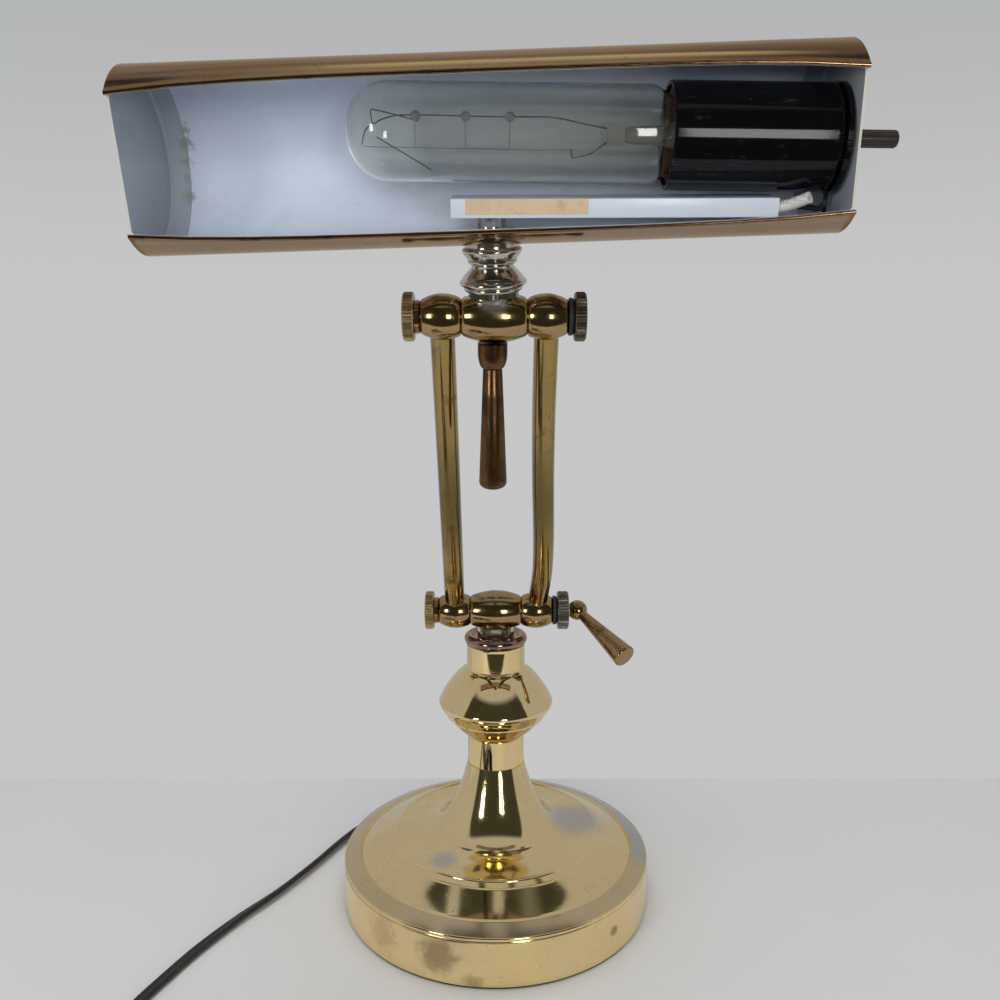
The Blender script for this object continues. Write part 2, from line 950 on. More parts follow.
class PolishedBrass(Finish):
    """Pale polished brass under worn lacquer, with tarnished places."""

    def __init__(self, name: str, colour: Colour, gloss: float, spots: Sequence[Spot] = ()) -> None:
        """Builds the finish.

        Args:
            name: Name of the finish.
            colour: Colour of the clean metal.
            gloss: Roughness where the lacquer is whole.
            spots: Worn places.
        """
        super().__init__(name)
        g = self.graph
        self.set(Metallic=1.0)
        warm = tuple(c * k for c, k in zip(colour, (0.93, 0.88, 0.78)))
        tone = g.mix(self.clouds(28.0), colour, warm)
        tone = g.mix(self.clouds(140.0, 0.0, 0.25), tone, tuple(c * 0.8 for c in colour))
        rough = self.clouds(45.0, gloss * 0.75, gloss * 1.5)
        lines = self.scuffs(900.0, 0.5)
        tone = g.mix(lines, tone, tuple(c * 0.62 for c in colour))
        rough = g.plus(rough, g.times(lines, 0.18))
        specks = self.pits(700.0, 0.42)
        tone = g.mix(g.times(specks, 0.6), tone, (0.20, 0.13, 0.06))
        tone, rough = self.worn(tone, rough, spots)
        self.feed(Base_Color=tone, Roughness=rough)
        swell = g.noise(self.place, 60.0, 2.0)
        self.feed(Normal=g.bump(g.plus(swell, g.times(lines, -0.15)), 0.12, 0.25))

    def spun(self, grain: float) -> None:
        """Stretches the highlights across the turning marks of a piece centred on Z."""
        self.set(Anisotropic=grain)
        self.feed(Tangent=self.graph.add("ShaderNodeTangent", direction_type="RADIAL", axis="Z").outputs[0])


class AgedBrass(Finish):
    """Darkened brass with brown oxide in clouds and pits."""

    def __init__(
        self, name: str, bright: Colour, dark: Colour, cover: float, spots: Sequence[Spot] = (), dull: float = 0.0
    ) -> None:
        """Builds the finish.

        Args:
            name: Name of the finish.
            bright: Colour where the metal is rubbed.
            dark: Colour of the oxide.
            cover: Share of the surface that the oxide takes.
            spots: Extra stained places.
            dull: Roughness on top of a rubbed surface's.
        """
        super().__init__(name)
        g = self.graph
        self.set(Metallic=1.0)
        oxide = g.span(g.noise(self.place, 70.0, 6.0, 0.65, 0.5), 0.72 - 0.45 * cover, 0.82 - 0.3 * cover)
        fine = g.noise(self.place, 420.0, 4.0, 0.7)
        tone = g.mix(fine, bright, tuple(c * 0.72 for c in bright))
        tone = g.mix(oxide, tone, dark)
        pits = self.pits(900.0, 0.35 + 0.25 * cover)
        tone = g.mix(g.times(pits, 0.75), tone, tuple(c * 0.3 for c in dark))
        rough = g.plus(g.times(oxide, 0.14), self.clouds(130.0, 0.08 + dull, 0.18 + dull))
        tone, rough = self.worn(tone, rough, spots)
        self.feed(Base_Color=tone, Roughness=rough)
        relief = g.minus(g.times(fine, 0.35), g.times(pits, 0.6))
        self.feed(Normal=g.bump(relief, 0.25, 0.12))


class TarnishedSheet(Finish):
    """The outside of the shade: brown, coppery sheet with lengthwise streaks, paler where it is rubbed."""

    def __init__(self) -> None:
        """Builds the finish."""
        super().__init__("shade_outside")
        g = self.graph
        self.set(Metallic=1.0, Specular_Tint=(0.95, 0.80, 0.64, 1.0))
        along = g.stretched(self.place, (0.05, 1.0, 1.0))
        streak = g.span(g.noise(along, 150.0, 4.0, 0.6), 0.35, 0.65)
        tone = g.mix(streak, (0.19, 0.125, 0.08), (0.33, 0.23, 0.14))
        cloud = self.clouds(22.0)
        tone = g.mix(g.times(cloud, 0.4), tone, (0.16, 0.085, 0.05))
        share, past, height = self.past_lip()
        centre = g.span(g.math("ABSOLUTE", share), 0.75, 0.25, 0.0, 0.55)
        tone = g.mix(centre, tone, (0.50, 0.36, 0.185))
        between = g.span(g.math("ABSOLUTE", share), 0.995, 0.98)
        low = g.times(between, g.span(height, -0.1, -0.65, 0.0, 0.75))
        tone = g.mix(low, tone, (0.44, 0.35, 0.28))
        rise = g.times(g.span(past, 3.0, 7.5), g.span(past, 10.0, 8.0))
        rubbed = g.times(rise, g.times(g.span(share, -0.6, -0.2), g.span(share, 1.0, 0.6)))
        tone = g.mix(rubbed, tone, (0.80, 0.58, 0.25))
        rose = g.times(g.span(past, 9.0, 11.5), g.span(past, 16.0, 12.0, 0.0, 0.5))
        tone = g.mix(g.times(between, rose), tone, (0.17, 0.08, 0.07))
        pits = self.pits(600.0, 0.45)
        tone = g.mix(g.times(pits, 0.7), tone, (0.10, 0.06, 0.04))
        rough = g.plus(g.times(cloud, 0.08), g.times(streak, -0.04))
        self.feed(Base_Color=tone, Roughness=g.plus(rough, 0.12))
        self.feed(Normal=g.bump(g.noise(along, 300.0, 3.0), 0.18, 0.1))

    def past_lip(self) -> tuple[Any, Any, Any]:
        """Finds where a point of the surface lies on the shade.

        Returns:
            Sockets of its share of the half length, its degrees past the upper lip and its share of the radius.
        """
        g = self.graph
        home = FRAMES.shade.inverted()
        given = {"Vector": self.place, "Location": home.translation, "Rotation": home.to_euler()}
        moved = g.add("ShaderNodeMapping", given, vector_type="POINT")
        part = g.add("ShaderNodeSeparateXYZ", {0: moved.outputs["Vector"]})
        share = g.times(part.outputs["X"], 2 / (SIZES.shade_l * MM))
        sprung = g.minus(1.0, g.math("POWER", g.math("ABSOLUTE", share), 4.0))
        angle = g.math("ARCTAN2", part.outputs["Z"], g.times(part.outputs["Y"], -1.0))
        half = math.degrees(math.asin(SIZES.mouth_w / 2 / SIZES.shade_r))
        past = g.minus(g.times(angle, math.degrees(1.0)), half)
        past = g.minus(past, g.times(sprung, Shade.lip_spring * 0.9))
        return share, past, g.times(part.outputs["Z"], 1 / (SIZES.shade_r * MM))


class Enamel(Finish):
    """Semi-gloss paint with faint grime, specks and old crust."""

    def __init__(self, name: str, colour: Colour, gloss: float, grime: Colour, spots: Sequence[Spot] = ()) -> None:
        """Builds the finish.

        Args:
            name: Name of the finish.
            colour: Colour of the paint.
            gloss: Roughness of the clean paint.
            grime: Colour of the dirt.
            spots: Places with old crust.
        """
        super().__init__(name)
        g = self.graph
        dirt = g.span(g.noise(self.place, 40.0, 6.0, 0.65), 0.5, 0.8, 0.0, 0.35)
        tone = g.mix(dirt, colour, grime)
        specks = self.pits(420.0, 0.36)
        tone = g.mix(g.times(specks, 0.5), tone, tuple(c * 0.5 for c in grime))
        for spot in spots:
            tone = g.mix(self.patch(spot), tone, spot.colour)
        self.feed(Base_Color=tone, Roughness=self.clouds(50.0, gloss * 0.8, gloss * 1.3))
        self.set(Coat_Weight=0.25, Coat_Roughness=0.15)
        self.feed(Normal=g.bump(g.noise(self.place, 350.0, 3.0), 0.06, 0.06))


class Moulding(Finish):
    """Moulded plastic or glass, glossy or dull, with dust and scuffs."""

    def __init__(self, name: str, colour: Colour, gloss: float, dust: float) -> None:
        """Builds the finish.

        Args:
            name: Name of the finish.
            colour: Colour of the material.
            gloss: Its roughness.
            dust: Strength of the pale dust.
        """
        super().__init__(name)
        g = self.graph
        lint = g.span(g.noise(self.place, 260.0, 6.0, 0.7), 0.58, 0.8, 0.0, dust)
        tone = g.mix(lint, colour, (0.22, 0.21, 0.19))
        lines = self.scuffs(700.0, 0.6)
        tone = g.mix(g.times(lines, 0.35), tone, (0.16, 0.15, 0.14))
        rough = g.plus(self.clouds(90.0, gloss * 0.8, gloss * 1.4), g.times(lint, 0.4))
        self.feed(Base_Color=tone, Roughness=g.plus(rough, g.times(lines, 0.15)))
        self.feed(Normal=g.bump(g.noise(self.place, 500.0, 2.0), 0.05, 0.05))


class PlainMetal(Finish):
    """Plated or plain metal with soft tarnish."""

    def __init__(self, name: str, colour: Colour, tarnish: Colour, gloss: float, cover: float) -> None:
        """Builds the finish.

        Args:
            name: Name of the finish.
            colour: Colour of the clean metal.
            tarnish: Colour of the tarnish.
            gloss: Roughness of the clean metal.
            cover: Share of tarnish.
        """
        super().__init__(name)
        g = self.graph
        self.set(Metallic=1.0)
        film = g.span(g.noise(self.place, 120.0, 6.0, 0.65), 0.75 - 0.5 * cover, 0.85 - 0.3 * cover)
        tone = g.mix(film, colour, tarnish)
        pits = self.pits(1100.0, 0.4)
        tone = g.mix(g.times(pits, 0.5), tone, tuple(c * 0.35 for c in tarnish))
        rough = g.plus(self.clouds(160.0, gloss * 0.8, gloss * 1.4), g.times(film, 0.18))
        self.feed(Base_Color=tone, Roughness=rough)
        self.feed(Normal=g.bump(g.noise(self.place, 600.0, 3.0), 0.1, 0.06))


class ClearGlass(Finish):
    """Clear blown glass with a faint grey-green tint and a little dust."""

    def __init__(self) -> None:
        """Builds the finish."""
        super().__init__("bulb_glass_clear")
        g = self.graph
        self.set(Transmission_Weight=1.0, IOR=1.45, Metallic=0.0)
        film = self.clouds(80.0, 0.0, 1.0)
        self.feed(Base_Color=g.mix(film, (1.0, 1.0, 0.965), (0.985, 0.99, 0.94)))
        self.feed(Roughness=g.times(film, 0.04))


class Weave(Finish):
    """Felt, woven sleeve or card: a matt surface with fibre relief."""

    def __init__(self, name: str, colour: Colour, dark: Colour, scale: float, depth: float) -> None:
        """Builds the finish.

        Args:
            name: Name of the finish.
            colour: Colour of the raised threads.
            dark: Colour between them.
            scale: Fineness of the threads.
            depth: Depth of the relief in millimetres.
        """
        super().__init__(name)
        g = self.graph
        turn = math.radians(45)
        strands = []
        for lean in (turn, -turn):
            along = g.stretched(self.place, (1, 1, 1), (0, lean, lean))
            strands.append(g.add("ShaderNodeTexWave", {"Vector": along, "Scale": scale}).outputs["Fac"])
        threads = g.math("MAXIMUM", *strands)
        fuzz = g.noise(self.place, 900.0, 4.0, 0.7)
        height = g.plus(g.times(threads, 0.7), g.times(fuzz, 0.6))
        self.feed(Base_Color=g.mix(g.span(height, 0.2, 0.9), dark, colour))
        self.feed(Roughness=self.clouds(200.0, 0.8, 0.95))
        self.feed(Normal=g.bump(height, 0.6, depth))


class AgedPaper(Finish):
    """A blank paper strip, tanned by heat."""

    def __init__(self) -> None:
        """Builds the finish."""
        super().__init__("aged_paper")
        g = self.graph
        tone = g.mix(self.clouds(90.0), (0.70, 0.55, 0.36), (0.60, 0.45, 0.27))
        stain = g.span(g.noise(self.place, 160.0, 5.0, 0.7), 0.52, 0.75, 0.0, 0.6)
        self.feed(Base_Color=g.mix(stain, tone, (0.36, 0.23, 0.11)))
        self.feed(Roughness=self.clouds(200.0, 0.6, 0.8))
        self.feed(Normal=g.bump(g.noise(self.place, 900.0, 4.0), 0.2, 0.05))


class Finishes:
    """All the lamp's finishes, built once."""

    def __init__(self) -> None:
        """Builds every material."""
        gold: Colour = (0.93, 0.76, 0.41)
        mauve: Colour = (0.55, 0.50, 0.48)
        grey: Colour = (0.52, 0.51, 0.48)
        brown: Colour = (0.30, 0.22, 0.12)
        base_spots = (
            Spot((38, 5, 37), 19, mauve, 0.10, 9, 90, 0.85),
            Spot((-24, -32, 36), 8, (0.55, 0.51, 0.50), 0.10, 4, 160, 0.75),
            Spot((-25, -70, 14), 11, brown, 0.20, 13, 210, 0.75),
            Spot((-50, -55, 14), 10, brown, 0.16, 18, 300, 0.35),
            Spot((53, -52, 13), 3, brown, 0.16, 3, 300, 0.8),
            Spot((-10, -73.5, 3), 5, brown, 0.18, 7, 300, 0.55),
        )
        ledge_spots = tuple(
            Spot((70 * math.cos(math.radians(a)), 70 * math.sin(math.radians(a)), 26), 17, grey, 0.0, 6, 90, 0.9)
            for a in range(-4, 90, 14)
        )
        aged: Colour = (0.48, 0.345, 0.15)
        oxide: Colour = (0.12, 0.075, 0.032)
        white: Colour = (0.62, 0.60, 0.55)
        seat = FRAMES.swivel @ Vector((0, -6 * MM, 7.2 * MM))
        seat_mm = (seat.x / MM, seat.y / MM, seat.z / MM)
        self.base = PolishedBrass("base_brass", gold, 0.075, base_spots)
        self.base.spun(0.4)
        self.ledge = PolishedBrass("ledge_brass", (0.74, 0.61, 0.38), 0.16, ledge_spots)
        self.column = PolishedBrass("column_brass", gold, 0.05)
        self.column.spun(0.4)
        self.collar_rim = AgedBrass("collar_rim_brass", (0.42, 0.29, 0.21), (0.21, 0.13, 0.10), 0.5)
        self.nut_brass = PolishedBrass("nut_brass", (0.66, 0.51, 0.26), 0.25)
        self.knuckle = AgedBrass("knuckle_brass", aged, oxide, 0.45, (Spot(seat_mm, 7, white, 0.3, 6, 300, 0.8),))
        middle = FRAMES.lower.translation.lerp(FRAMES.upper.translation, 0.44) / MM
        shaded = Spot(tuple(middle), 43, (0.135, 0.115, 0.042), 0.0, 5, 60, 0.85)
        self.arm = AgedBrass("arm_brass", (0.46, 0.325, 0.115), (0.20, 0.135, 0.05), 0.4, (shaded,))
        self.handle = AgedBrass("handle_brass", (0.19, 0.102, 0.045), (0.075, 0.04, 0.018), 0.5, dull=0.16)
        self.lever = AgedBrass("lever_brass", (0.44, 0.30, 0.14), (0.17, 0.10, 0.045), 0.4)
        self.shade_out = TarnishedSheet()
        crusty: Colour = (0.27, 0.28, 0.24)
        crust = tuple(Spot((-114, -67, z), 3.4, crusty, 0.3, 7, 500, 0.8) for z in range(326, 351, 6))
        self.shade_in = Enamel("shade_paint", (0.63, 0.685, 0.785), 0.32, (0.40, 0.41, 0.43), crust)
        self.cap_paint = Enamel("cap_paint", (0.38, 0.41, 0.455), 0.34, (0.28, 0.28, 0.28), crust)
        self.raceway = Enamel("raceway_paint", (0.62, 0.67, 0.75), 0.35, (0.55, 0.53, 0.50))
        self.lip = AgedBrass("lip_brass", (0.34, 0.21, 0.11), (0.11, 0.06, 0.032), 0.45)
        self.cap_edge = Enamel("cap_edge", (0.56, 0.53, 0.46), 0.5, (0.22, 0.17, 0.11))
        self.nickel = PlainMetal("dull_nickel", (0.62, 0.59, 0.53), (0.27, 0.23, 0.18), 0.13, 0.4)
        self.steel = PlainMetal("grey_steel", (0.48, 0.48, 0.49), (0.25, 0.23, 0.21), 0.3, 0.4)
        self.old_steel = PlainMetal("old_steel", (0.24, 0.23, 0.20), (0.11, 0.10, 0.085), 0.25, 0.45)
        self.bronze = PlainMetal("dark_bronze", (0.20, 0.165, 0.115), (0.07, 0.055, 0.04), 0.3, 0.5)
        self.wire = PlainMetal("support_wire", (0.12, 0.115, 0.11), (0.05, 0.05, 0.05), 0.35, 0.3)
        self.stamped = PolishedBrass("stamped_brass", (0.74, 0.58, 0.28), 0.22)
        self.casting = PlainMetal("bare_casting", (0.12, 0.12, 0.12), (0.07, 0.06, 0.05), 0.55, 0.4)
        self.rubber = Moulding("black_rubber", (0.018, 0.018, 0.018), 0.5, 0.25)
        self.phenolic = Moulding("black_phenolic", (0.0025, 0.0025, 0.003), 0.07, 0.02)
        self.phenolic.set(Specular_IOR_Level=0.22)
        self.brown_phenolic = Moulding("brown_phenolic", (0.030, 0.022, 0.017), 0.35, 0.3)
        self.cord = Moulding("cord_jacket", (0.010, 0.010, 0.012), 0.22, 0.06)
        self.felt = Weave("black_felt", (0.030, 0.030, 0.030), (0.012, 0.012, 0.012), 900.0, 0.25)
        self.braid = Weave("white_braid", (0.72, 0.71, 0.67), (0.34, 0.33, 0.30), 420.0, 0.35)
        self.card = Weave("brown_card", (0.26, 0.14, 0.075), (0.16, 0.085, 0.045), 1500.0, 0.08)
        self.paper = AgedPaper()
        self.glass = ClearGlass()
        self.bead = Moulding("bead_glass", (0.36, 0.37, 0.36), 0.06, 0.0)
        self.bead.set(Transmission_Weight=0.45)
        self.stem = Moulding("stem_glass", (0.40, 0.41, 0.39), 0.3, 0.0)
        self.stem.set(Transmission_Weight=0.7, Specular_IOR_Level=0.15)


class SubAssembly:
    """A group of pieces that are modelled and dressed together."""

    def __init__(self, frame: dict[str, Any], finishes: Finishes) -> None:
        """Keeps what the pieces need.

        Args:
            frame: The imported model.
            finishes: The lamp's finishes.
        """
        self.frame = frame
        self.finishes = finishes
        self.sizes = SIZES

    def place(
        self, obj: bpy.types.Object, body: Body, finish: Finish, slot: str, *nodes: str, extra: Sequence[Finish] = ()
    ) -> bpy.types.Object:
        """Dresses a modelled piece and ties it to its body.

        Args:
            obj: The piece.
            body: The body that it moves with.
            finish: Its finish.
            slot: The record's material slot.
            *nodes: The solids that it stands for.
            extra: More finishes, for faces that name them.

        Returns:
            The piece.
        """
        obj.data.materials.clear()
        for one in (finish, *extra):
            obj.data.materials.append(one.material)
        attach(obj, body.value)
        if nodes:
            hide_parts(*nodes)
        log.info("modelled %s on %s", obj.name, body.value)
        return obj

    def dress(self, finish: Finish, *nodes: str) -> None:
        """Gives solids that stay their finish.

        Args:
            finish: The finish.
            *nodes: Names of the solids.
        """
        for node in nodes:
            for slot in self.frame["nodes"][node].material_slots:
                slot.material = finish.material
            log.info("dressed %s", node)


@dataclass(frozen=True)
class CordRoute:
    """The cord's way over the floor, in millimetres, as in the part's source."""

    route: tuple[tuple[float, float, float], ...] = (
        *((-1.5, 100.8, 8.5), (-5.5, 103.2, 7), (-12, 104.6, 5.2), (-20, 104, 3.4), (-29, 100.8, 2.2)),
        *((-38, 95.6, 1.6), (-48, 88.4, 1.6), (-59, 78.8, 1.6), (-69, 66.6, 1.6), (-78, 54, 1.6)),
        *((-85, 41, 1.6), (-92, 25.5, 1.6), (-99, 11, 1.6), (-109, -7, 1.6), (-122, -27, 1.6)),
        *((-134, -49, 1.6), (-143, -70, 1.6), (-148, -83, 1.6), (-152, -97, 1.8), (-157, -115, 2.2)),
    )
    coil_centre: tuple[float, float] = (-120.5, -147.5)
    coil_start_angle: float = 165.0
    coil_lift: float = 1.0
    coil_gap: float = 0.6
    coil_dip: float = 2.0
    coil_steps: int = 32
    tail_l: float = 40.0


class Cord(SubAssembly):
    """The flat twin cord with its strain relief, coil, tie and plug."""

    way = CordRoute()

    @property
    def turns(self) -> float:
        """Turns of the whole coil."""
        return self.sizes.coil_in_turns + 0.5 + self.sizes.coil_out_turns

    def coil_point(self, n: float) -> Vector:
        """Finds a point of the coil's middle line.

        Args:
            n: Turns from the coil's start.

        Returns:
            The point in millimetres.
        """
        pitch = self.sizes.cord_w + self.way.coil_gap
        into = self.sizes.coil_in_turns
        inner = self.sizes.coil_r - into * pitch
        climb = min(1.0, max(0.0, 2 * (n - into)))
        if n < into:
            radius = self.sizes.coil_r - n * pitch
        elif n < into + 0.5:
            radius = inner - self.way.coil_dip * math.sin(2 * math.pi * (n - into))
        else:
            radius = inner + (n - into - 0.5) * pitch
        a = math.radians(self.way.coil_start_angle + 360 * n)
        z = self.way.coil_lift + self.sizes.cord_t / 2 + climb * (self.sizes.cord_t + self.way.coil_gap)
        return Vector(
            (self.way.coil_centre[0] + radius * math.cos(a), self.way.coil_centre[1] + radius * math.sin(a), z)
        )

    def heading(self, n: float) -> Vector:
        """Returns the coil's direction after n turns."""
        a = math.radians(self.way.coil_start_angle + 360 * n)
        return Vector((-math.sin(a), math.cos(a), 0))

    def plug_root(self) -> Vector:
        """Finds where the cord enters the plug.

        Returns:
            The point in millimetres.
        """
        end = self.coil_point(self.turns)
        end.z = self.sizes.plug_h / 2
        return end + self.way.tail_l * self.heading(self.turns)

    def middle_line(self) -> list[Vector]:
        """Lays the cord's middle line from the strain relief to the plug.

        Returns:
            Its points in millimetres.
        """
        s = self.sizes
        out = s.base_r + s.relief_l
        start = self.coil_point(0)
        lead = [(0, out, s.outlet_h), (0, out + s.cord_t, s.outlet_h), *self.way.route]
        lead += [tuple(start - s.cord_w * self.heading(0)), tuple(start)]
        line = [Vector(p) for p in flowing(lead, 6)]
        steps = int(self.turns * self.way.coil_steps)
        line += [self.coil_point(i / self.way.coil_steps) for i in range(1, steps + 1)]
        end = self.coil_point(self.turns)
        ahead = self.heading(self.turns)
        root = self.plug_root()
        tail = [end, end + 0.45 * self.way.tail_l * ahead, root - s.cord_w * ahead, root]
        if (end - line[-1]).length < 0.5:
            line.pop()
        return line + [Vector(p) for p in flowing([tuple(p) for p in tail], 5)]

    @staticmethod
    def twist_at(point: Vector) -> float:
        """Finds how far the cord leans on its edge, between four places along the floor.

        Args:
            point: A point of the middle line, in millimetres.

        Returns:
            The lean in radians.
        """
        start, full, flat, done = 100.0, 52.0, 12.0, -58.0
        most, behind_base = 44.0, -30.0
        if point.y > full:
            share = min(1.0, max(0.0, (start - point.y) / (start - full)))
        else:
            share = min(1.0, max(0.0, (point.y - done) / (flat - done)))
        if point.x > behind_base and point.y > 0:
            share = 0.0
        return -math.radians(most) * share * share * (3 - 2 * share)

    def section(self) -> list[tuple[float, float]]:
        """Draws two joined round cores.

        Returns:
            The outline of the cord's section, in millimetres.
        """
        r = self.sizes.cord_t / 2
        core = self.sizes.cord_w / 2 - r
        right = arc((core, 0), (r, r), -125, 125, 10)
        left = arc((-core, 0), (r, r), 55, 305, 10)
        groove = 0.62 * r
        return [*right, (0, groove), *left, (0, -groove)]

    def run(self) -> None:
        line = self.middle_line()
        outline = self.section()
        sides = len(outline)
        half = self.sizes.cord_t / 2
        core = self.sizes.cord_w / 2 - half
        verts: list[Vector] = []
        for i, point in enumerate(line):
            ahead = (line[min(i + 1, len(line) - 1)] - line[max(i - 1, 0)]).normalized()
            side = ahead.cross(Vector((0, 0, 1))).normalized()
            up = side.cross(ahead)
            lean = self.twist_at(point)
            lift = core * abs(math.sin(lean)) + half + 0.2 if lean else 0.0
            middle = Vector((point.x, point.y, max(point.z, lift)))
            for x, y in outline:
                across = x * math.cos(lean) - y * math.sin(lean)
                above = x * math.sin(lean) + y * math.cos(lean)
                verts.append((middle + across * side + above * up) * MM)
        faces = []
        for i in range(len(line) - 1):
            for j in range(sides):
                a, b = i * sides + j, i * sides + (j + 1) % sides
                faces.append((a, a + sides, b + sides, b))
        faces.append(tuple(range(sides)))
        faces.append(tuple(reversed(range((len(line) - 1) * sides, len(line) * sides))))
        mesh = bpy.data.meshes.new("power_cord")
        mesh.from_pydata([tuple(v) for v in verts], [], faces)
        obj = bpy.data.objects.new("power_cord", mesh)
        bpy.context.collection.objects.link(obj)
        Bench.clean(obj)
        Bench.settle(obj, FRAMES.floor, 60.0)
        self.place(obj, Body.STAND, self.finishes.cord, "black_cord", "cord_run", "cord_coil")
        self.plug()
        self.tie()

    def plug(self) -> bpy.types.Object:
        """Models the moulded plug with its waist and grip ribs.

        Returns:
            The plug's mesh.
        """
        s = self.sizes
        heading = self.heading(self.turns)
        place = shift(*self.plug_root()) @ Matrix.Rotation(math.atan2(heading.y, heading.x), 4, "Z")
        obj = Bench.slab("plug_shell", (0, -6.5, -5), (2, 6.5, 5))
        full, waist = (s.plug_w, s.plug_h), (s.plug_w - 1.4, s.plug_h - 1.6)
        rings = ((9, full), (12, waist), (14, full), (17, waist), (19, full), (s.plug_l, full))
        at = (2.0, 13.0, 10.0)
        Bench.choose(obj, lambda normal: normal.x > Bench.facing)
        for x, (w, h) in rings:
            bpy.ops.mesh.extrude_region_move(TRANSFORM_OT_translate={"value": ((x - at[0]) * MM, 0, 0)})
            bpy.ops.transform.resize(value=(1, w / at[1], h / at[2]), center_override=(x * MM, 0, 0))
            at = (x, w, h)
        Bench.leave()
        Bench.bevel(obj, 1.6, 4, 25.0)
        Bench.settle(obj, place, 35.0)
        return self.place(obj, Body.STAND, self.finishes.phenolic, "black_phenolic", "plug_body")

    def tie(self) -> bpy.types.Object:
        """Models the strap that holds the coil, with its rounded turns.

        Returns:
            The strap's mesh.
        """
        s = self.sizes
        strap, room, width = 0.8, 0.3, 6.0
        pitch = s.cord_w + self.way.coil_gap
        inner = s.coil_r - s.coil_in_turns * pitch - self.way.coil_dip - s.cord_w / 2 - room
        outer = s.coil_r + pitch / 2 + s.cord_w / 2 + room
        top = self.way.coil_lift + 2 * s.cord_t + self.way.coil_gap + room
        place = shift(*self.way.coil_centre, 0) @ turned_by(self.way.coil_start_angle + 100, "Z")
        obj = Bench.slab("coil_strap", (inner - strap, -width / 2, 0), (outer + strap, width / 2, top + strap))
        Bench.choose(obj, lambda normal: abs(normal.y) > Bench.facing)
        bpy.ops.mesh.inset(thickness=strap * MM, depth=0)
        bpy.ops.mesh.bridge_edge_loops()
        Bench.leave()
        Bench.bevel(obj, 0.35, 2, 40.0)
        Bench.settle(obj, place, 35.0)
        return self.place(obj, Body.STAND, self.finishes.rubber, "black_rubber", "cord_tie")

    def relief(self) -> None:
        """Turns the tapered strain relief with its ribs."""
        s = self.sizes
        tip = s.cord_w / 2 + 0.9
        flange = 6.6
        ribs = 4
        pitch = (s.relief_l - 4) / ribs
        inside, neck = s.base_r - 1.4, 4.6
        profile: Profile = [(0, inside), (neck, inside), (neck, s.base_r + s.fit), (flange, s.base_r + s.fit)]
        profile += [(flange, s.base_r + 1.0), (flange - 0.5, s.base_r + 1.5)]
        for i in range(ribs):
            for k in (0.0, 0.45, 0.62, 0.9):
                t = (i + k) / ribs
                inset = 0.6 if k > 0.5 else 0.0
                profile.append((flange - 1.2 + (tip - flange + 1.2) * t - inset, s.base_r + 3 + (i + k) * pitch))
        out = s.base_r + s.relief_l
        profile += [(tip, out - 0.5), (tip - 0.4, out), (0, out)]
        place = shift(0, 0, s.outlet_h) @ turned_by(-90, "X")
        obj = Bench.turn("strain_relief", profile, place, 48)
        self.place(obj, Body.STAND, self.finishes.rubber, "black_rubber", "cord_bushing")

    def build(self) -> None:
        """Models and dresses the cord."""
        self.run()
        self.relief()
        self.dress(self.finishes.stamped, "plug_blades")


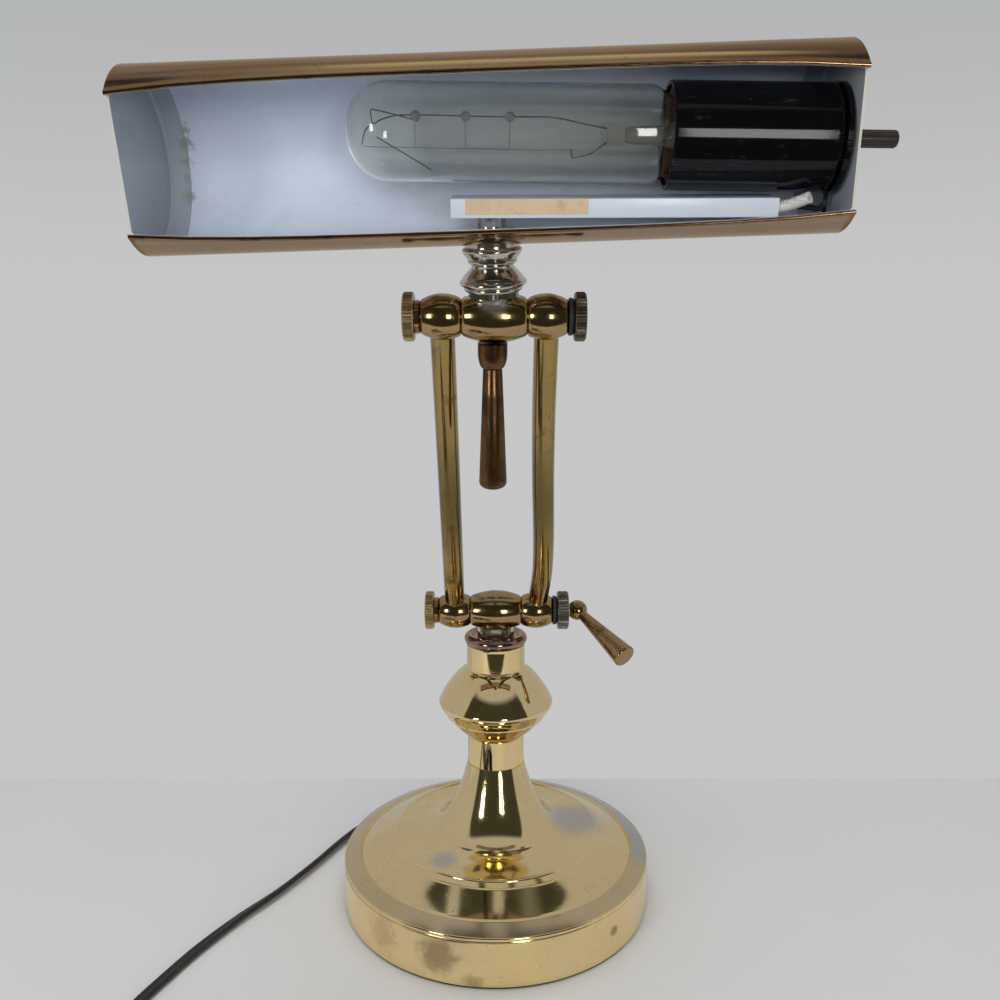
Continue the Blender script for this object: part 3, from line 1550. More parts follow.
class Stand(SubAssembly):
    """The base and the column."""

    def base_outline(self) -> Profile:
        """Draws the outside of the base shell.

        Returns:
            Its profile from the foot to the neck.
        """
        s = self.sizes
        lip = 0.6
        crease = s.rim_h - 1.2
        rim_top = s.rim_h + s.rim_round
        points: Profile = [(s.base_r - lip, s.felt_t), (s.base_r - 0.15, s.felt_t + 0.2), (s.base_r, s.felt_t + lip)]
        points += [(s.base_r, s.felt_t + 2 * lip), (s.base_r, crease - 1.3), (s.base_r, crease - 0.7)]
        points += [(s.base_r - 0.12, crease - 0.35), (s.base_r - lip, crease)]
        points += [(s.base_r - 0.12, crease + 0.4), (s.base_r, crease + 0.8)]
        corner = 1.0
        points += arc((s.base_r - corner, s.rim_h), (corner, corner), 0, 66, 8)
        points += [(s.groove_r + 3 * lip, rim_top - 0.9), (s.groove_r + 2 * lip, rim_top - 1.0)]
        points += [(s.groove_r + lip, s.groove_z - lip)]
        for i in range(17):
            t = i / 16
            z = s.groove_z + t * s.shoulder_rise + 0.35 * t * (1 - t)
            points.append((s.groove_r + t * (s.step_r - s.groove_r), z))
        points += [(s.step_r - 0.3, s.step_z + 0.4), (s.step_r - 0.9, s.step_z + 0.65)]
        bead = 1.1
        for i in range(13):
            a = math.radians(15 * i)
            z = s.ring_z - 0.3 - 0.27 * math.cos(a) + 0.75 * math.sin(a)
            points.append((s.ring_r + bead + bead * math.cos(a), z))
        points += [self.trumpet(i / 40) for i in range(1, 41)]
        return points

    def trumpet(self, share: float) -> tuple[float, float]:
        """Finds a point of the trumpet's curve.

        Args:
            share: Share of the way from the ring to the neck.

        Returns:
            Its radius and height in millimetres.
        """
        s = self.sizes
        u = 1 - (1 - share) ** s.trumpet_ease
        return s.ring_r - (s.ring_r - s.neck_r) * u, s.ring_z + s.trumpet_rise * u**s.trumpet_power

    def base(self) -> None:
        """Turns the base shell."""
        s = self.sizes
        outside = self.base_outline()
        wall = s.shell_wall + 0.6
        inside: Profile = [(s.base_r - wall, s.felt_t), (s.base_r - wall, s.rim_h - wall)]
        inside += [(s.groove_r - wall, s.groove_z - wall), (s.step_r - wall, s.step_z - wall)]
        inside += [(s.ring_r - wall, s.ring_z - wall)]
        for reach, z in (self.trumpet(i / 14) for i in range(2, 15)):
            inside.append((max(reach - wall, s.pipe_r + 2 * s.fit), z - wall))
        profile = [*outside, (s.pipe_r + s.fit, s.neck_z), *reversed(inside)]
        obj = Bench.turn("base_spinning", profile, FRAMES.floor, 180, 28.0, closed=True)
        ledge = (s.groove_r + 0.6) * MM
        f = self.finishes
        self.place(obj, Body.STAND, f.base, "polished_brass", "base_shell", extra=(f.ledge,))
        for polygon in obj.data.polygons:
            polygon.material_index = int(polygon.center.xy.length > ledge and polygon.normal.z > 0.85)

    def column(self) -> None:
        """Turns the sleeve, the vase and the collar."""
        s = self.sizes
        bore = s.pipe_r + s.fit
        edge = 0.25
        sleeve: Profile = [(bore, s.neck_z), (s.sleeve_r - edge, s.neck_z), (s.sleeve_r, s.neck_z + edge)]
        sleeve += [(s.sleeve_r, s.sleeve_top - edge), (s.sleeve_r - edge, s.sleeve_top), (bore, s.sleeve_top)]
        obj = Bench.turn("sleeve", sleeve, FRAMES.floor, 96, closed=True)
        self.place(obj, Body.STAND, self.finishes.column, "polished_brass", "column_sleeve")
        foot = s.sleeve_top
        low = [(13.4, 0), (15.2, 1.3), (17.7, 3.5), (20.4, 6.2), (22.4, 8.5), (22.75, 8.95)]
        ridge = [(22.95, 9.05), (23.3, 9.4), (23.4, 10.0)]
        high = [(23.4, 10.0), (24.7, 11.8), (26.2, 14.1), (26.9, 15.5), (s.vase_r, 16.6), (26.8, 17.8), (25.4, 20.6)]
        high += [(22.6, 25.0), (19.2, 29.2), (16.2, 32.0), (14.7, 33.0), (14.05, 33.6), (s.collar_r, 34.0)]
        vase = [(r, foot + z) for r, z in [*flowing(low, 5), *ridge, *flowing(high, 6)[1:]]]
        vase = [(bore, foot), *vase, (bore, s.vase_top)]
        obj = Bench.turn("vase", vase, FRAMES.floor, 128, 24.0, closed=True)
        self.place(obj, Body.STAND, self.finishes.column, "polished_brass", "column_vase")
        bead = s.flange_h / 2
        roll = s.flange_r - bead
        dish = roll - bead
        collar: Profile = [(bore, s.vase_top), (s.collar_r, s.vase_top), (s.collar_r, s.flange_z - 1.5)]
        collar += [(s.collar_r, s.flange_z - 1.0), (s.collar_r + 0.15, s.flange_z - 0.2)]
        collar += arc((roll, s.flange_z + bead), (bead, bead), -60, 130, 22)
        collar += [(dish + 0.3, s.dish_z + 0.1), (dish - 0.6, s.dish_z), (bore, s.dish_z)]
        obj = Bench.turn("collar", collar, FRAMES.floor, 112, closed=True)
        f = self.finishes
        self.place(obj, Body.STAND, f.column, "polished_brass", "column_collar", extra=(f.collar_rim,))
        for polygon in obj.data.polygons:
            polygon.material_index = int(polygon.center.z > (s.flange_z - 0.3) * MM)

    def build(self) -> None:
        """Models and dresses the stand."""
        self.base()
        self.column()
        self.dress(self.finishes.felt, "base_felt")
        self.dress(self.finishes.casting, "base_weight")
        self.dress(self.finishes.steel, "base_washer", "lamp_pipe", "lower_pivot_bolt", "upper_pivot_bolt")
        self.dress(self.finishes.stamped, "base_nut")


class Pivots(SubAssembly):
    """The two knuckles, the arm eyes and what is screwed on the pivots."""

    @staticmethod
    def barrel(name: str, width: float, ends: tuple[float, float], middle: float, place: Matrix) -> bpy.types.Object:
        """Turns a barrel that swells between its ends.

        Args:
            name: Name of the piece.
            width: Its length along its axis.
            ends: Radius at its two ends.
            middle: Radius at its middle.
            place: Its place, starting at one end with Z along it.

        Returns:
            The barrel's mesh.
        """
        near, far = (end - 0.35 for end in ends)
        swell = middle - (near + far) / 2
        profile: Profile = [(0, 0), (near - 0.3, 0)]
        for i in range(1, 32):
            t = i / 32
            plain = near + (far - near) * t
            profile.append((plain + swell * math.sin(math.pi * t) ** 0.8, width * t))
        profile += [(far - 0.3, width), (0, width)]
        return Bench.turn(name, profile, place, 72, 40.0)

    def knuckle(self, name: str, pivot: Matrix, stack: Matrix, side: int, node: str, body: Body) -> None:
        """Models a knuckle with its flat seat.

        Args:
            name: Name of the piece.
            pivot: The pivot's place.
            stack: The place whose Z is square to the seat.
            side: 1 where the seat is above the pivot, -1 where it is below.
            node: The solid that it stands for.
            body: The body that it moves with.
        """
        s = self.sizes
        place = pivot @ shift(-s.knuckle_w / 2, 0, 0) @ turned_by(90, "Y")
        obj = self.barrel(name, s.knuckle_w, (s.knuckle_end_r, s.knuckle_end_r), s.knuckle_r, place)
        up = (stack.to_3x3() @ Vector((0, 0, side))).normalized()
        Bench.cut(obj, stack.translation + up * s.knuckle_seat * MM, up)
        boss: Profile = [(0, 2), (7.6, 2), (7.6, s.knuckle_seat - 0.4), (7.2, s.knuckle_seat), (0, s.knuckle_seat)]
        turn = turned_by(0 if side > 0 else 180, "X")
        ring = Bench.turn(name + "_boss", boss, stack @ turn, 64)
        Bench.join(obj, ring)
        self.place(obj, body, self.finishes.knuckle, "aged_brass", node)

    def eyes(self) -> None:
        """Models the four eyes of the arms."""
        s = self.sizes
        top = FRAMES.arms @ shift(0, 0, s.arm_l)
        for side in Side:
            for level, pivot in (("lower", FRAMES.arms), ("upper", top)):
                name = f"{side.name.lower()}_{level}_eye"
                place = Frames.out_along(pivot, s.eye_near, side)
                obj = self.barrel(name + "_barrel", s.eye_w, (s.eye_inner_r, s.eye_outer_r), s.eye_r, place)
                self.place(obj, Body.ARMS, self.finishes.knuckle, "aged_brass", name)

    def arms(self) -> None:
        """Models the two arm tubes: the left one straight, the right one a little bowed."""
        s = self.sizes
        low, high = s.arm_root, s.arm_l - s.arm_root
        straight = [(-s.arm_x, 0, low), (-s.arm_x, 0, s.arm_l / 2), (-s.arm_x, 0, high)]
        bow = [(0, 0.3), (0.07, 1.3), (0.14, 2.1), (0.22, 2.2), (0.34, 1.8), (0.5, 0.9), (0.7, 0.2), (0.85, 0), (1, 0)]
        bowed = [(s.arm_x + x, 0, low + (high - low) * t) for t, x in bow]
        for side, points in ((Side.LEFT, straight), (Side.RIGHT, bowed)):
            name = f"{side.name.lower()}_arm_tube"
            obj = Bench.wire(name + "_rod", points, s.arm_r, FRAMES.arms, 8)
            self.place(obj, Body.ARMS, self.finishes.arm, "aged_brass", name)

    def washers(self) -> None:
        """Turns the plain and domed washers."""
        s = self.sizes
        bore, edge, crown = 3.05, 0.25, 1.3
        plain: Profile = [(bore, 0), (s.washer_r - edge, 0), (s.washer_r, edge), (s.washer_r, s.washer_t - edge)]
        plain += [(s.washer_r - edge, s.washer_t), (bore, s.washer_t)]
        dome: Profile = [(bore, 0), (s.dome_r - 0.1, 0), (s.dome_r, 0.15), (s.dome_r, s.washer_t - crown)]
        dome += arc((s.dome_r - crown, s.washer_t - crown), (crown, crown), 0, 90, 6) + [(bore, s.washer_t)]
        f = self.finishes
        sides = [(Side.LEFT, "ring", plain, f.knuckle, "aged_brass")]
        sides += [(Side.RIGHT, "dome", dome, f.rubber, "black_rubber")]
        for level, pivot, body in (("lower", FRAMES.lower, Body.STAND), ("upper", FRAMES.upper, Body.HEAD)):
            for side, form, profile, finish, slot in sides:
                name = f"{level}_{side.name.lower()}_washer"
                place = Frames.out_along(pivot, s.washer_x, side)
                obj = Bench.turn(f"{name}_{form}", profile, place, 64, closed=True)
                self.place(obj, body, finish, slot, name)

    def lever(self) -> None:
        """Turns the clamp lever's ball and handle."""
        s = self.sizes
        flat = s.lever_sink - s.lever_ball_r
        start = math.degrees(math.asin(flat / s.lever_ball_r))
        ball = [(0.0, flat), *arc((0, 0), (s.lever_ball_r, s.lever_ball_r), start, 90, 32)]
        obj = Bench.turn("lever_ball_turned", ball, FRAMES.lever_ball, 64)
        self.place(obj, Body.LEVER, self.finishes.lever, "aged_brass", "lever_ball")
        root, end, tip = s.lever_root_r, s.lever_end_r, s.lever_l
        handle: Profile = [(0, s.lever_ball_r - 2), (root, s.lever_ball_r - 2), (root, s.lever_ball_r + 0.3)]
        handle += flowing([(root, s.lever_ball_r + 0.4), (3.6, 18), (end - 0.25, tip - 3), (end, tip - 1.4)], 8)
        handle += arc((end - 0.8, tip - 0.8), (0.8, 0.8), 0, 90, 6)
        handle += [(end - 1.1, tip - 0.12), (end - 1.5, tip - 0.05), (0, tip)]
        obj = Bench.turn("lever_grip", handle, FRAMES.lever, 72)
        self.place(obj, Body.LEVER, self.finishes.lever, "aged_brass", "lever_handle")

    def build(self) -> None:
        """Models and dresses the pivots."""
        self.knuckle("lower_knuckle_barrel", FRAMES.lower, FRAMES.lower, -1, "lower_knuckle", Body.STAND)
        self.knuckle("upper_knuckle_barrel", FRAMES.upper, FRAMES.swivel, 1, "upper_knuckle", Body.HEAD)
        self.eyes()
        self.arms()
        self.washers()
        self.lever()
        self.dress(self.finishes.nickel, "lower_lock_ring", "upper_lock_ring")
        self.dress(self.finishes.nut_brass, "lower_left_nut", "upper_left_nut")
        self.dress(self.finishes.bronze, "upper_right_nut")
        self.dress(self.finishes.old_steel, "lever_nut")


class Head(SubAssembly):
    """The tilt handle and the swivel stack under the shade."""

    def handle(self) -> None:
        """Turns the ferrule and the tilt handle."""
        s = self.sizes
        top = s.knuckle_r + s.fit
        foot = top + s.ferrule_h
        bowl = s.ferrule_h * 0.62
        ferrule: Profile = [(0, top), (s.ferrule_r - 0.3, top), (s.ferrule_r, top + 0.3)]
        across = s.ferrule_r - s.handle_top_r
        ferrule += arc((s.handle_top_r, foot - bowl), (across, bowl), 0, 90, 14) + [(0, foot)]
        obj = Bench.turn("ferrule", ferrule, FRAMES.handle, 64)
        self.place(obj, Body.HEAD, self.finishes.handle, "aged_brass", "handle_ferrule")
        tip = foot + s.handle_l
        end = 2.2
        grip: Profile = [(0, foot), (s.handle_top_r - 0.25, foot), (s.handle_top_r, foot + 0.4)]
        grip += arc((s.handle_tip_r - end, tip - end), (end, end), 0, 90, 10) + [(0, tip)]
        obj = Bench.turn("handle_grip", grip, FRAMES.handle, 72)
        self.place(obj, Body.HEAD, self.finishes.handle, "aged_brass", "tilt_handle")

    def swivel(self) -> None:
        """Turns the swivel cup and cap, and saddles the cap under the shade."""
        s = self.sizes
        bore = s.nipple_r + s.fit
        r = s.cup_r
        foot = [(r - 2.5, 0), (r - 1.75, 0.2), (r - 1.45, 0.75), (r - 1.6, 1.3), (r - 1.9, 1.55)]
        rim = [(r - 1.2, 1.65), (r - 0.4, 2.1), (r, 2.8), (r - 0.2, 3.5), (r - 0.75, 4.05), (r - 1.15, 4.2)]
        dome = [(r - 1.1, 4.3), (r - 1.5, 5.1), (r - 2.4, 6.1), (s.waist_r + 0.9, s.cup_h - 0.9), (s.waist_r, s.cup_h)]
        profile = [(bore, 0.0), *flowing(foot, 4), *flowing(rim, 4), *flowing(dome, 4), (bore, s.cup_h)]
        obj = Bench.turn("swivel_cup_turned", profile, FRAMES.swivel @ shift(0, 0, s.cup_z), 96, closed=True)
        self.place(obj, Body.HEAD, self.finishes.nickel, "dull_nickel", "swivel_cup")
        r = s.cap_r
        low = [(s.waist_r, 0), (s.waist_r + 0.2, 0.8), (s.waist_r + 0.75, 1.3), (r - 1.95, 1.8), (r - 1.9, 2.4)]
        rim = [(r - 2.2, 2.6), (r - 1.6, 3.2), (r - 0.8, 4.3), (r - 0.2, 5.3), (r, 5.9), (r - 0.2, 6.4), (r - 0.9, 6.9)]
        rim += [(r - 1.2, 7.5), (r - 1.2, 10.5)]
        profile = [(bore, 0.0), *flowing(low, 4), *flowing(rim, 4), (bore, 10.5)]
        place = FRAMES.swivel @ shift(0, 0, s.cap_z)
        obj = Bench.turn("swivel_cap_turned", profile, place, 96, closed=True)
        Bench.clear()
        bpy.ops.mesh.primitive_cylinder_add(vertices=160, radius=(s.shade_r + 0.03) * MM, depth=60 * MM)
        cutter = bpy.context.object
        Bench.move(cutter, FRAMES.shade @ turned_by(90, "Y"))
        Bench.finish(obj, "BOOLEAN", operation="DIFFERENCE", object=cutter, solver="EXACT")
        bpy.data.objects.remove(cutter, do_unlink=True)
        Bench.settle(obj, FRAMES.floor, 30.0)
        self.place(obj, Body.SHADE, self.finishes.nickel, "dull_nickel", "swivel_cap")

    def build(self) -> None:
        """Models and dresses the head."""
        self.handle()
        self.swivel()
        self.dress(self.finishes.nickel, "swivel_nipple", "swivel_nut")


class Shade(SubAssembly):
    """The trough shade with its end caps and raceway."""

    lip_spring = 8.0

    def trough(self) -> None:
        """Models the trough: brown metal outside, white paint inside and a hem along each lip."""
        s = self.sizes
        half = math.degrees(math.asin(s.mouth_w / 2 / s.shade_r))
        start, end = 180 + half, 540 - half
        outer = arc((0, 0), (s.shade_r, s.shade_r), start, end, 150)
        back = 0.8
        inner = arc((0, 0), (s.shade_in_r, s.shade_in_r), end - back, start + back, 150)
        outline = [*outer[2:-2], *self.hem(1, half), *inner[2:-2], *self.hem(-1, half)]
        obj = Bench.draw("trough", [*outline, outline[0]])
        bpy.ops.mesh.remove_doubles(threshold=Bench.merge_gap)
        bpy.ops.mesh.select_all(action="SELECT")
        pieces = 12
        step = s.shade_l / pieces * MM
        for _ in range(pieces):
            bpy.ops.mesh.extrude_edges_move(TRANSFORM_OT_translate={"value": (0, step, 0)})
        Bench.tidy_mesh()
        bpy.ops.mesh.select_all(action="DESELECT")
        bpy.ops.mesh.select_non_manifold(extend=False, use_wire=False, use_verts=False)
        bpy.ops.mesh.fill_holes(sides=0)
        Bench.tidy_mesh()
        Bench.leave()
        turn = Matrix(((0, 1, 0, 0), (1, 0, 0, 0), (0, 0, 1, 0), (0, 0, 0, 1)))
        Bench.move(obj, turn)
        Bench.clean(obj)
        middle = (s.shade_r + s.shade_in_r) / 2 * MM
        lip = -(s.lip_y + 0.25 * s.hem_d) * MM
        kinds = []
        for polygon in obj.data.polygons:
            centre = polygon.center
            if centre.y < lip or abs(polygon.normal.x) > Bench.facing:
                kinds.append(2)
            else:
                kinds.append(int(math.hypot(centre.y, centre.z) < middle))
        self.spring_lips(obj, half)
        Bench.settle(obj, FRAMES.shade @ shift(-s.shade_l / 2, 0, 0), 30.0)
        f = self.finishes
        inside = (f.shade_in, f.lip)
        self.place(obj, Body.SHADE, f.shade_out, "tarnished_brass", "shade_trough", extra=inside)
        for polygon, kind in zip(obj.data.polygons, kinds):
            polygon.material_index = kind

    def spring_lips(self, obj: bpy.types.Object, half: float) -> None:
        """Draws both lips back between the end caps, where the sheet has sprung open.

        Args:
            obj: The trough, with its left end at zero.
            half: Half the angle of the mouth, in degrees.
        """
        fade = 55.0
        for vertex in obj.data.vertices:
            along = 2 * vertex.co.x / (self.sizes.shade_l * MM) - 1
            angle = math.degrees(math.atan2(vertex.co.z, -vertex.co.y))
            share = max(0.0, 1 - max(0.0, abs(angle) - half) / fade) * (1 - along**4)
            turn = math.radians(math.copysign(self.lip_spring * share, angle))
            y, z = vertex.co.y, vertex.co.z
            vertex.co.y = y * math.cos(turn) + z * math.sin(turn)
            vertex.co.z = z * math.cos(turn) - y * math.sin(turn)

    def hem(self, side: int, half: float) -> Profile:
        """Returns the rolled hem of one lip, as seen along the shade.

        Args:
            side: 1 for the upper lip and -1 for the lower one.
            half: Half the angle of the mouth, in degrees.

        Returns:
            Points from the outside to the inside for the upper lip, and back for the lower one.
        """
        s = self.sizes
        r = s.hem_d / 2
        centre = (-s.lip_y, side * (s.mouth_w / 2 - r))
        if side > 0:
            return arc(centre, (r, r), 180 - half - 40, 180 - half + 200, 14)
        return arc(centre, (r, r), 180 + half - 200, 180 + half + 40, 14)

    def end_caps(self) -> None:
        """Models the two end caps as pans, cut along the mouth."""
        s = self.sizes
        r = s.shade_in_r - s.fit
        wall = s.shade_wall
        depth = s.cap_flange
        f = self.finishes
        for side in Side:
            hole = 2.6 if side is Side.RIGHT else 0.0
            pan: Profile = [(hole, depth), (r - 0.5, depth), (r, depth - 0.5), (r, 0), (r - wall, 0)]
            pan += [(r - wall, depth - wall - 1.0), (r - wall - 1.0, depth - wall), (hole, depth - wall)]
            local = shift(side.value * (s.shade_l / 2 - depth), 0, 0) @ turned_by(side.value * 90, "Y")
            name = f"{side.name.lower()}_end_cap"
            obj = Bench.turn(name + "_pan", pan, local, 120, 30.0, closed=True)
            Bench.cut(obj, Vector((0, -(s.lip_y - s.hem_d) * MM, 0)), Vector((0, -1, 0)))
            face = side.value * (s.shade_l / 2 - 0.4) * MM
            mouth = -(s.lip_y - s.hem_d - 0.1) * MM
            kinds = []
            for polygon in obj.data.polygons:
                cut = polygon.center.y < mouth and polygon.normal.y < -0.95
                kinds.append(2 if cut else int(polygon.center.x * side.value > face * side.value))
            Bench.settle(obj, FRAMES.shade, 30.0)
            self.place(obj, Body.SHADE, f.cap_paint, "white_enamel", name, extra=(f.shade_out, f.cap_edge))
            for polygon, kind in zip(obj.data.polygons, kinds):
                polygon.material_index = kind

    def raceway(self) -> None:
        """Models the wiring channel, open at its back, and its blank label."""
        s = self.sizes
        front = -0.55 * s.raceway_w
        left, right = -s.raceway_left, s.raceway_l - s.raceway_left
        wall = 0.8
        low, high = s.raceway_z, s.raceway_z + s.raceway_h
        obj = Bench.slab("raceway_channel", (left, front, low), (right, front + s.raceway_w, high))
        Bench.choose(obj, lambda normal: normal.y > Bench.facing or abs(normal.x) > Bench.facing)
        bpy.ops.mesh.delete(type="ONLY_FACE")
        Bench.leave()
        Bench.finish(obj, "SOLIDIFY", thickness=wall * MM, offset=-1.0)
        Bench.bevel(obj, 0.35, 3, 40.0)
        Bench.settle(obj, FRAMES.raceway, 35.0)
        self.place(obj, Body.SHADE, self.finishes.raceway, "white_enamel", "raceway")
        label = Bench.slab("blank_label", (-8, front - 0.14, low + 1.2), (34, front - 0.02, high - 0.1))
        Bench.pick(label)
        Bench.edit()
        bpy.ops.mesh.select_all(action="SELECT")
        bpy.ops.mesh.subdivide(number_cuts=24)
        Bench.leave()
        for vertex in label.data.vertices:
            x = vertex.co.x / MM
            vertex.co.z += (0.05 * math.sin(x * 1.7) + 0.04 * math.sin(x * 4.3 + 1)) * MM
        Bench.settle(label, FRAMES.raceway, 35.0)
        self.place(label, Body.SHADE, self.finishes.paper, "brown_card")

    def leads(self) -> None:
        """Models the woven sleeve and the bare lead between the raceway and the socket."""
        s = self.sizes
        end = s.raceway_l - s.raceway_left
        mid = s.raceway_z + s.raceway_h / 2
        sleeve = [(end - 4, -5.25, mid), (end + 0.5, -5.25, mid), (end + 3.6, -6.7, mid + 0.7)]
        sleeve += [(end + 6.4, -9.0, mid + 2.1), (end + 9.1, -11.25, mid + 3.6)]
        obj = Bench.wire("sleeve_braid", sleeve, 2.0, FRAMES.raceway, 8)
        self.place(obj, Body.SHADE, self.finishes.braid, "white_braid", "lead_sleeve")
        lead = [(end - 6, -1.4, mid), (end + 2, -1.5, mid), (end + 7, -2.2, mid), (end + 11, -5.4, mid - 0.3)]
        lead += [(end + 13, -9, mid - 0.2), (end + 14, -13, mid + 2)]
        obj = Bench.wire("lead_insulated", lead, 1.0, FRAMES.raceway, 6)
        self.place(obj, Body.SHADE, self.finishes.rubber, "black_cord", "lead_wire")

    def build(self) -> None:
        """Models and dresses the shade."""
        self.trough()
        self.end_caps()
        self.raceway()
        self.leads()


class SocketAndBulb(SubAssembly):
    """The lamp holder, the switch knob and the tubular bulb."""

    def holder(self) -> None:
        """Turns the socket shell and the disc behind it."""
        s = self.sizes
        r, back, front = s.socket_r, s.socket_z, s.socket_front
        shell: Profile = [(2.2, back), *arc((r - 2.4, back + 2.4), (2.4, 2.4), -90, 0, 10)]
        bore = r - s.socket_wall
        shell += [(r, back + 3.0), (r, front - 1.1), (r, front - 0.5), (r - 0.15, front - 0.15), (r - 0.5, front)]
        shell += [(bore + 0.2, front), (bore, front - 0.2), (bore, back + 2), (2.2, back + 2)]
        obj = Bench.turn("socket_cover", shell, FRAMES.holder, 112, closed=True)
        self.place(obj, Body.SHADE, self.finishes.phenolic, "black_phenolic", "socket_shell")
        self.dress(self.finishes.phenolic, "insulating_disc")
        self.dress(self.finishes.card, "socket_liner")
        self.dress(self.finishes.brown_phenolic, "socket_core", "switch_knob")
        self.dress(self.finishes.stamped, "screw_shell", "bulb_base")

    def glass(self) -> None:
        """Turns the glass tube as a thin shell."""
        s = self.sizes
        neck = s.screw_r - 0.6
        nose = s.bulb_r * 0.92
        flare: Profile = []
        for i in range(17):
            t = i / 16
            flare.append((neck + (s.bulb_r - neck) * (1 - math.cos(math.pi * t)) / 2, s.glass_z + 7 + 9 * t))
        outside = [(neck, s.glass_z), *flare, *arc((0, s.tip_z - nose), (s.bulb_r, nose), 0, 90, 24)]
        thin = s.bulb_r - s.glass_t
        inside = [(neck - s.glass_t, s.glass_z), *[(r - s.glass_t, z) for r, z in flare]]
        inside += arc((0, s.tip_z - nose), (thin, nose - s.glass_t), 0, 90, 24)
        obj = Bench.turn("bulb_tube", [*outside, *reversed(inside)], FRAMES.holder, 96, 40.0, closed=True)
        self.place(obj, Body.SHADE, self.finishes.glass, "clear_glass", "bulb_glass")
        self.dress(self.finishes.stem, "bulb_stem")

    def filament(self) -> None:
        """Draws the support wire with its beads and hooks, and the filament below it."""
        s = self.sizes
        press = s.glass_z + 27
        rail, low = 5.2, -4.9
        end = s.tip_z - 20
        place = FRAMES.holder
        main = [(2, 0, press + 3.2), (3.4, 0, press + 11), (rail, 0, press + 21), (rail + 0.1, 0, press + 30)]
        main += [(rail, 0, end - 30), (rail + 0.2, 0, end - 2), (rail - 0.9, 0, end + 6), (rail - 2.8, 0, end + 10)]
        main += [(0.4, 0, end + 13), (low + 0.6, 0, end + 14.4)]
        hook = [(-2.4, 0, press + 3.2), (-6.0, 0, press + 8.2), (-7.4, 0, press + 13.6), (-7.2, 0, press + 14.6)]
        hook += [(low, 0, press + 15)]
        loop = [(3.4, 0, end - 5), (rail, -1, end + 1.7), (6.8, -1.8, end + 9.6), (6.2, -2, end + 10.8)]
        loop += [(2.4, -1.6, end + 10.3)]
        loose = [(-1.7, -2, end + 9), (-6.6, -2.4, end), (-11.9, -3, end - 9.5)]
        wires = (("wires", main, 0.24), ("hook", hook, 0.24), ("loop", loop, 0.22), ("loose", loose, 0.22))
        parts = [Bench.wire(f"support_{name}", line, radius, place, 5) for name, line, radius in wires]
        beads = []
        for z in (s.tip_z - 24, s.tip_z - 41, s.tip_z - 56):
            bead = [(0.0, -1.7), *arc((0, 0), (1.7, 1.7), -80, 80, 12), (0.0, 1.7)]
            beads.append(Bench.turn("support_beads", bead, place @ shift(rail, 0, z), 32))
            drop = [(rail, 0, z), (0.5, 0, z + 0.2), (low + 0.55, 0, z)]
            parts.append(Bench.wire("support_drop", drop, 0.1, place, 4))
        self.place(Bench.join(*beads), Body.SHADE, self.finishes.bead, "clear_glass")
        obj = Bench.join(*parts)
        self.place(obj, Body.SHADE, self.finishes.wire, "dark_wire", "filament_support")
        span = [(low, 0, press + 14.2), (low - 0.3, 0, press + 30), (low - 0.2, 0, press + 45), (low, 0, end + 14.2)]
        obj = Bench.wire("filament_line", span, 0.1, place, 8)
        self.place(obj, Body.SHADE, self.finishes.wire, "dark_wire", "filament")

    def build(self) -> None:
        """Models and dresses the holder and the bulb."""
        self.holder()
        self.glass()
        self.filament()


@dataclass(frozen=True)
class Lamp:
    """A soft light: where it stands, its width and height in metres, and its power."""

    name: str
    place: tuple[float, float, float]
    size: tuple[float, float]
    power: float
    mirrored: bool = False


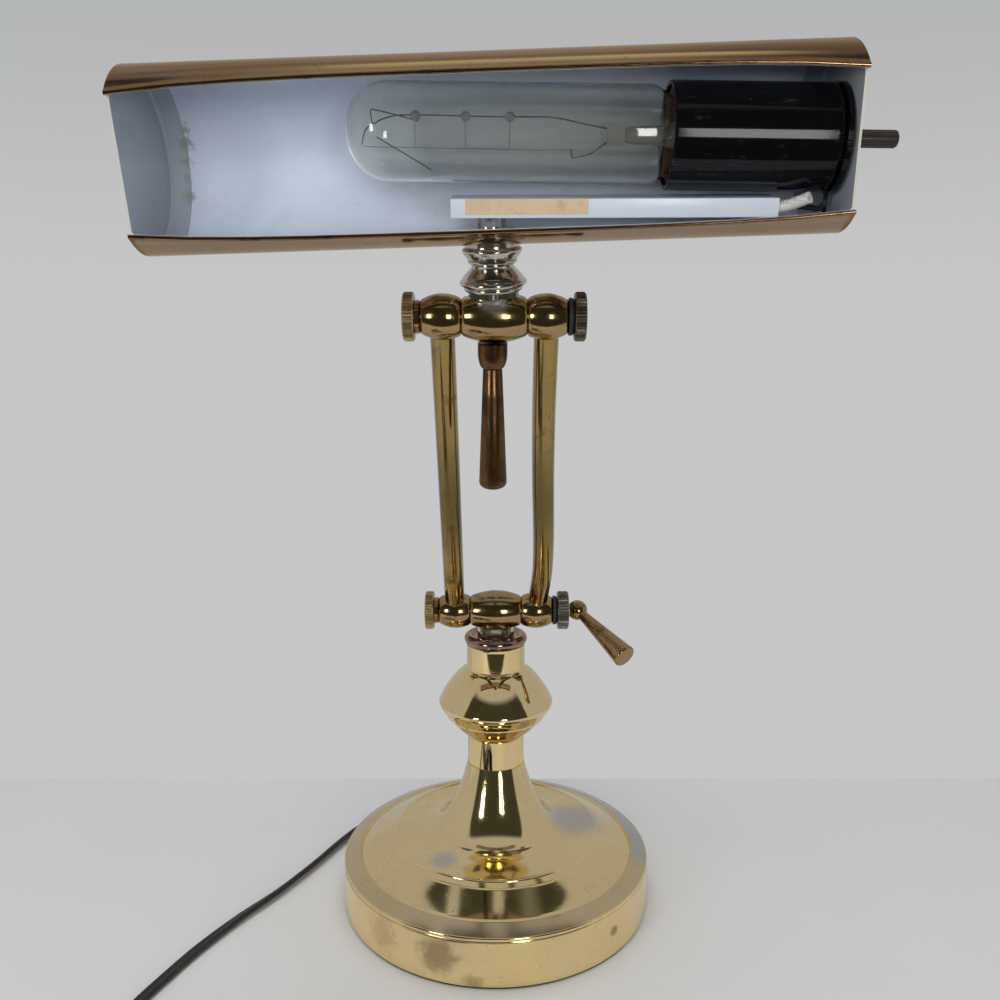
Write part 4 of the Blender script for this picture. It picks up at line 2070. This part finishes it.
class Studio:
    """The camera, the floor and the light."""

    lights = (
        Lamp("light_left", (-0.85, -1.05, 0.34), (0.20, 0.34), 2.6, mirrored=True),
        Lamp("light_right", (0.361, -1.2, 0.27), (0.198, 0.34), 2.3, mirrored=True),
        Lamp("light_front", (-0.15, -1.30, 0.46), (0.70, 0.70), 6.5),
        Lamp("light_top", (0.0, -0.15, 1.40), (1.1, 1.1), 10.5),
    )
    aim = Vector((0.0, -0.05, 0.18))
    lens = 34.71
    sensor_w = 36.0
    eye = (0.00203, -0.4404, 0.2787)
    look_down = 10.31
    pale_strips = ((-0.29, 0.05, 0.025, 1.0), (0.02, 0.05, 0.025, 1.0), (0.23, 0.1, 0.0, 0.3))
    floor_w = 1.6
    floor_front = -0.31
    floor_back = 0.121

    def camera(self) -> None:
        """Places the camera at the fitted point of view."""
        data = bpy.data.cameras.new("camera")
        data.lens = self.lens
        data.sensor_width = self.sensor_w
        obj = bpy.data.objects.new("camera", data)
        obj.location = self.eye
        obj.rotation_euler = (math.radians(90 - self.look_down), 0, 0)
        bpy.context.collection.objects.link(obj)
        bpy.context.scene.camera = obj

    def floor(self) -> None:
        """Lays the pale floor."""
        Bench.clear()
        bpy.ops.mesh.primitive_plane_add(size=1.0)
        obj = bpy.context.object
        obj.name = "floor"
        obj.scale = (self.floor_w, self.floor_back - self.floor_front, 1.0)
        obj.location = (0, (self.floor_back + self.floor_front) / 2, -0.0002)
        bpy.ops.object.transform_apply(location=True, rotation=True, scale=True)
        pale = Finish("floor_pale")
        grain = pale.graph.noise(pale.place, 14.0, 4.0)
        pale.feed(Base_Color=pale.graph.mix(grain, (0.70, 0.69, 0.675), (0.73, 0.725, 0.715)))
        pale.set(Roughness=0.6)
        obj.data.materials.append(pale.material)

    def light(self) -> None:
        """Hangs the soft lights and sets the surroundings."""
        for lamp in self.lights:
            data = bpy.data.lights.new(lamp.name, "AREA")
            data.energy = lamp.power
            data.shape = "RECTANGLE"
            data.size, data.size_y = lamp.size
            obj = bpy.data.objects.new(lamp.name, data)
            obj.location = lamp.place
            aim = self.aim - Vector(lamp.place)
            obj.rotation_euler = aim.to_track_quat("-Z", "Y").to_euler()
            obj.visible_glossy = lamp.mirrored
            obj.visible_transmission = lamp.mirrored
            bpy.context.collection.objects.link(obj)
        self.surroundings()
        bpy.context.scene.view_settings.view_transform = "Standard"

    def surroundings(self) -> None:
        """Sets a pale room that is dark to the front and overhead, where the metal mirrors it."""
        world = bpy.data.worlds.new("surroundings")
        bpy.context.scene.world = world
        world.use_nodes = True
        g = Graph(world.node_tree)
        toward = g.add("ShaderNodeSeparateXYZ", {0: g.add("ShaderNodeTexCoord").outputs["Generated"]})
        side, back, up = (toward.outputs[axis] for axis in ("X", "Y", "Z"))
        across = g.math("ABSOLUTE", side)
        reach = g.minus(g.times(back, -2.2), across)
        dark = g.times(g.span(reach, -0.05, 0.08), g.span(up, 0.78, 0.66))
        bowed = g.minus(back, g.times(g.math("POWER", across, 2.0), 0.9))
        wide = g.math("POWER", g.math("DIVIDE", across, 0.46), 2.0)
        deep = g.math("POWER", g.math("DIVIDE", g.minus(bowed, 0.03), 0.13), 2.0)
        roof = g.times(g.span(g.plus(wide, deep), 1.06, 0.94), g.span(up, 0.5, 0.6))
        strips: Any = 0.0
        for middle, edge, core, strength in self.pale_strips:
            gap = g.math("ABSOLUTE", g.minus(side, middle))
            strips = g.math("MAXIMUM", strips, g.span(gap, edge, core, 0.0, strength))
        roof = g.times(roof, g.minus(1.0, strips))
        dark = g.math("MAXIMUM", dark, roof)
        room = g.mix(dark, (0.44, 0.45, 0.46), (0.045, 0.048, 0.04))
        mirrored = g.add("ShaderNodeBackground", {"Color": room, "Strength": 1.0})
        seen = world.node_tree.nodes["Background"]
        wall = g.mix(g.span(up, 0.0, 0.32), (0.56, 0.57, 0.575), (0.45, 0.46, 0.465))
        g.tree.links.new(wall, seen.inputs["Color"])
        seen.inputs["Strength"].default_value = 1.0
        soft = g.add("ShaderNodeBackground", {"Color": (0.95, 0.97, 1.0, 1.0), "Strength": 0.26})
        ray = g.add("ShaderNodeLightPath")
        plain = g.math("MAXIMUM", ray.outputs["Is Camera Ray"], ray.outputs["Is Transmission Ray"])
        glossy = ray.outputs["Is Glossy Ray"]
        first = g.add("ShaderNodeMixShader", {0: glossy, 1: soft.outputs[0], 2: mirrored.outputs[0]})
        second = g.add("ShaderNodeMixShader", {0: plain, 1: first.outputs[0], 2: seen.outputs[0]})
        world.node_tree.links.new(second.outputs[0], world.node_tree.nodes["World Output"].inputs["Surface"])


def main() -> None:
    """Builds the scene in order."""
    logging.basicConfig(level=logging.INFO, format="%(name)s: %(message)s")
    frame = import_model()
    studio = Studio()
    studio.camera()
    finishes = Finishes()
    for kind in (Cord, Stand, Pivots, Head, Shade, SocketAndBulb):
        kind(frame, finishes).build()
    studio.floor()
    studio.light()


if __name__ == "__main__":
    main()
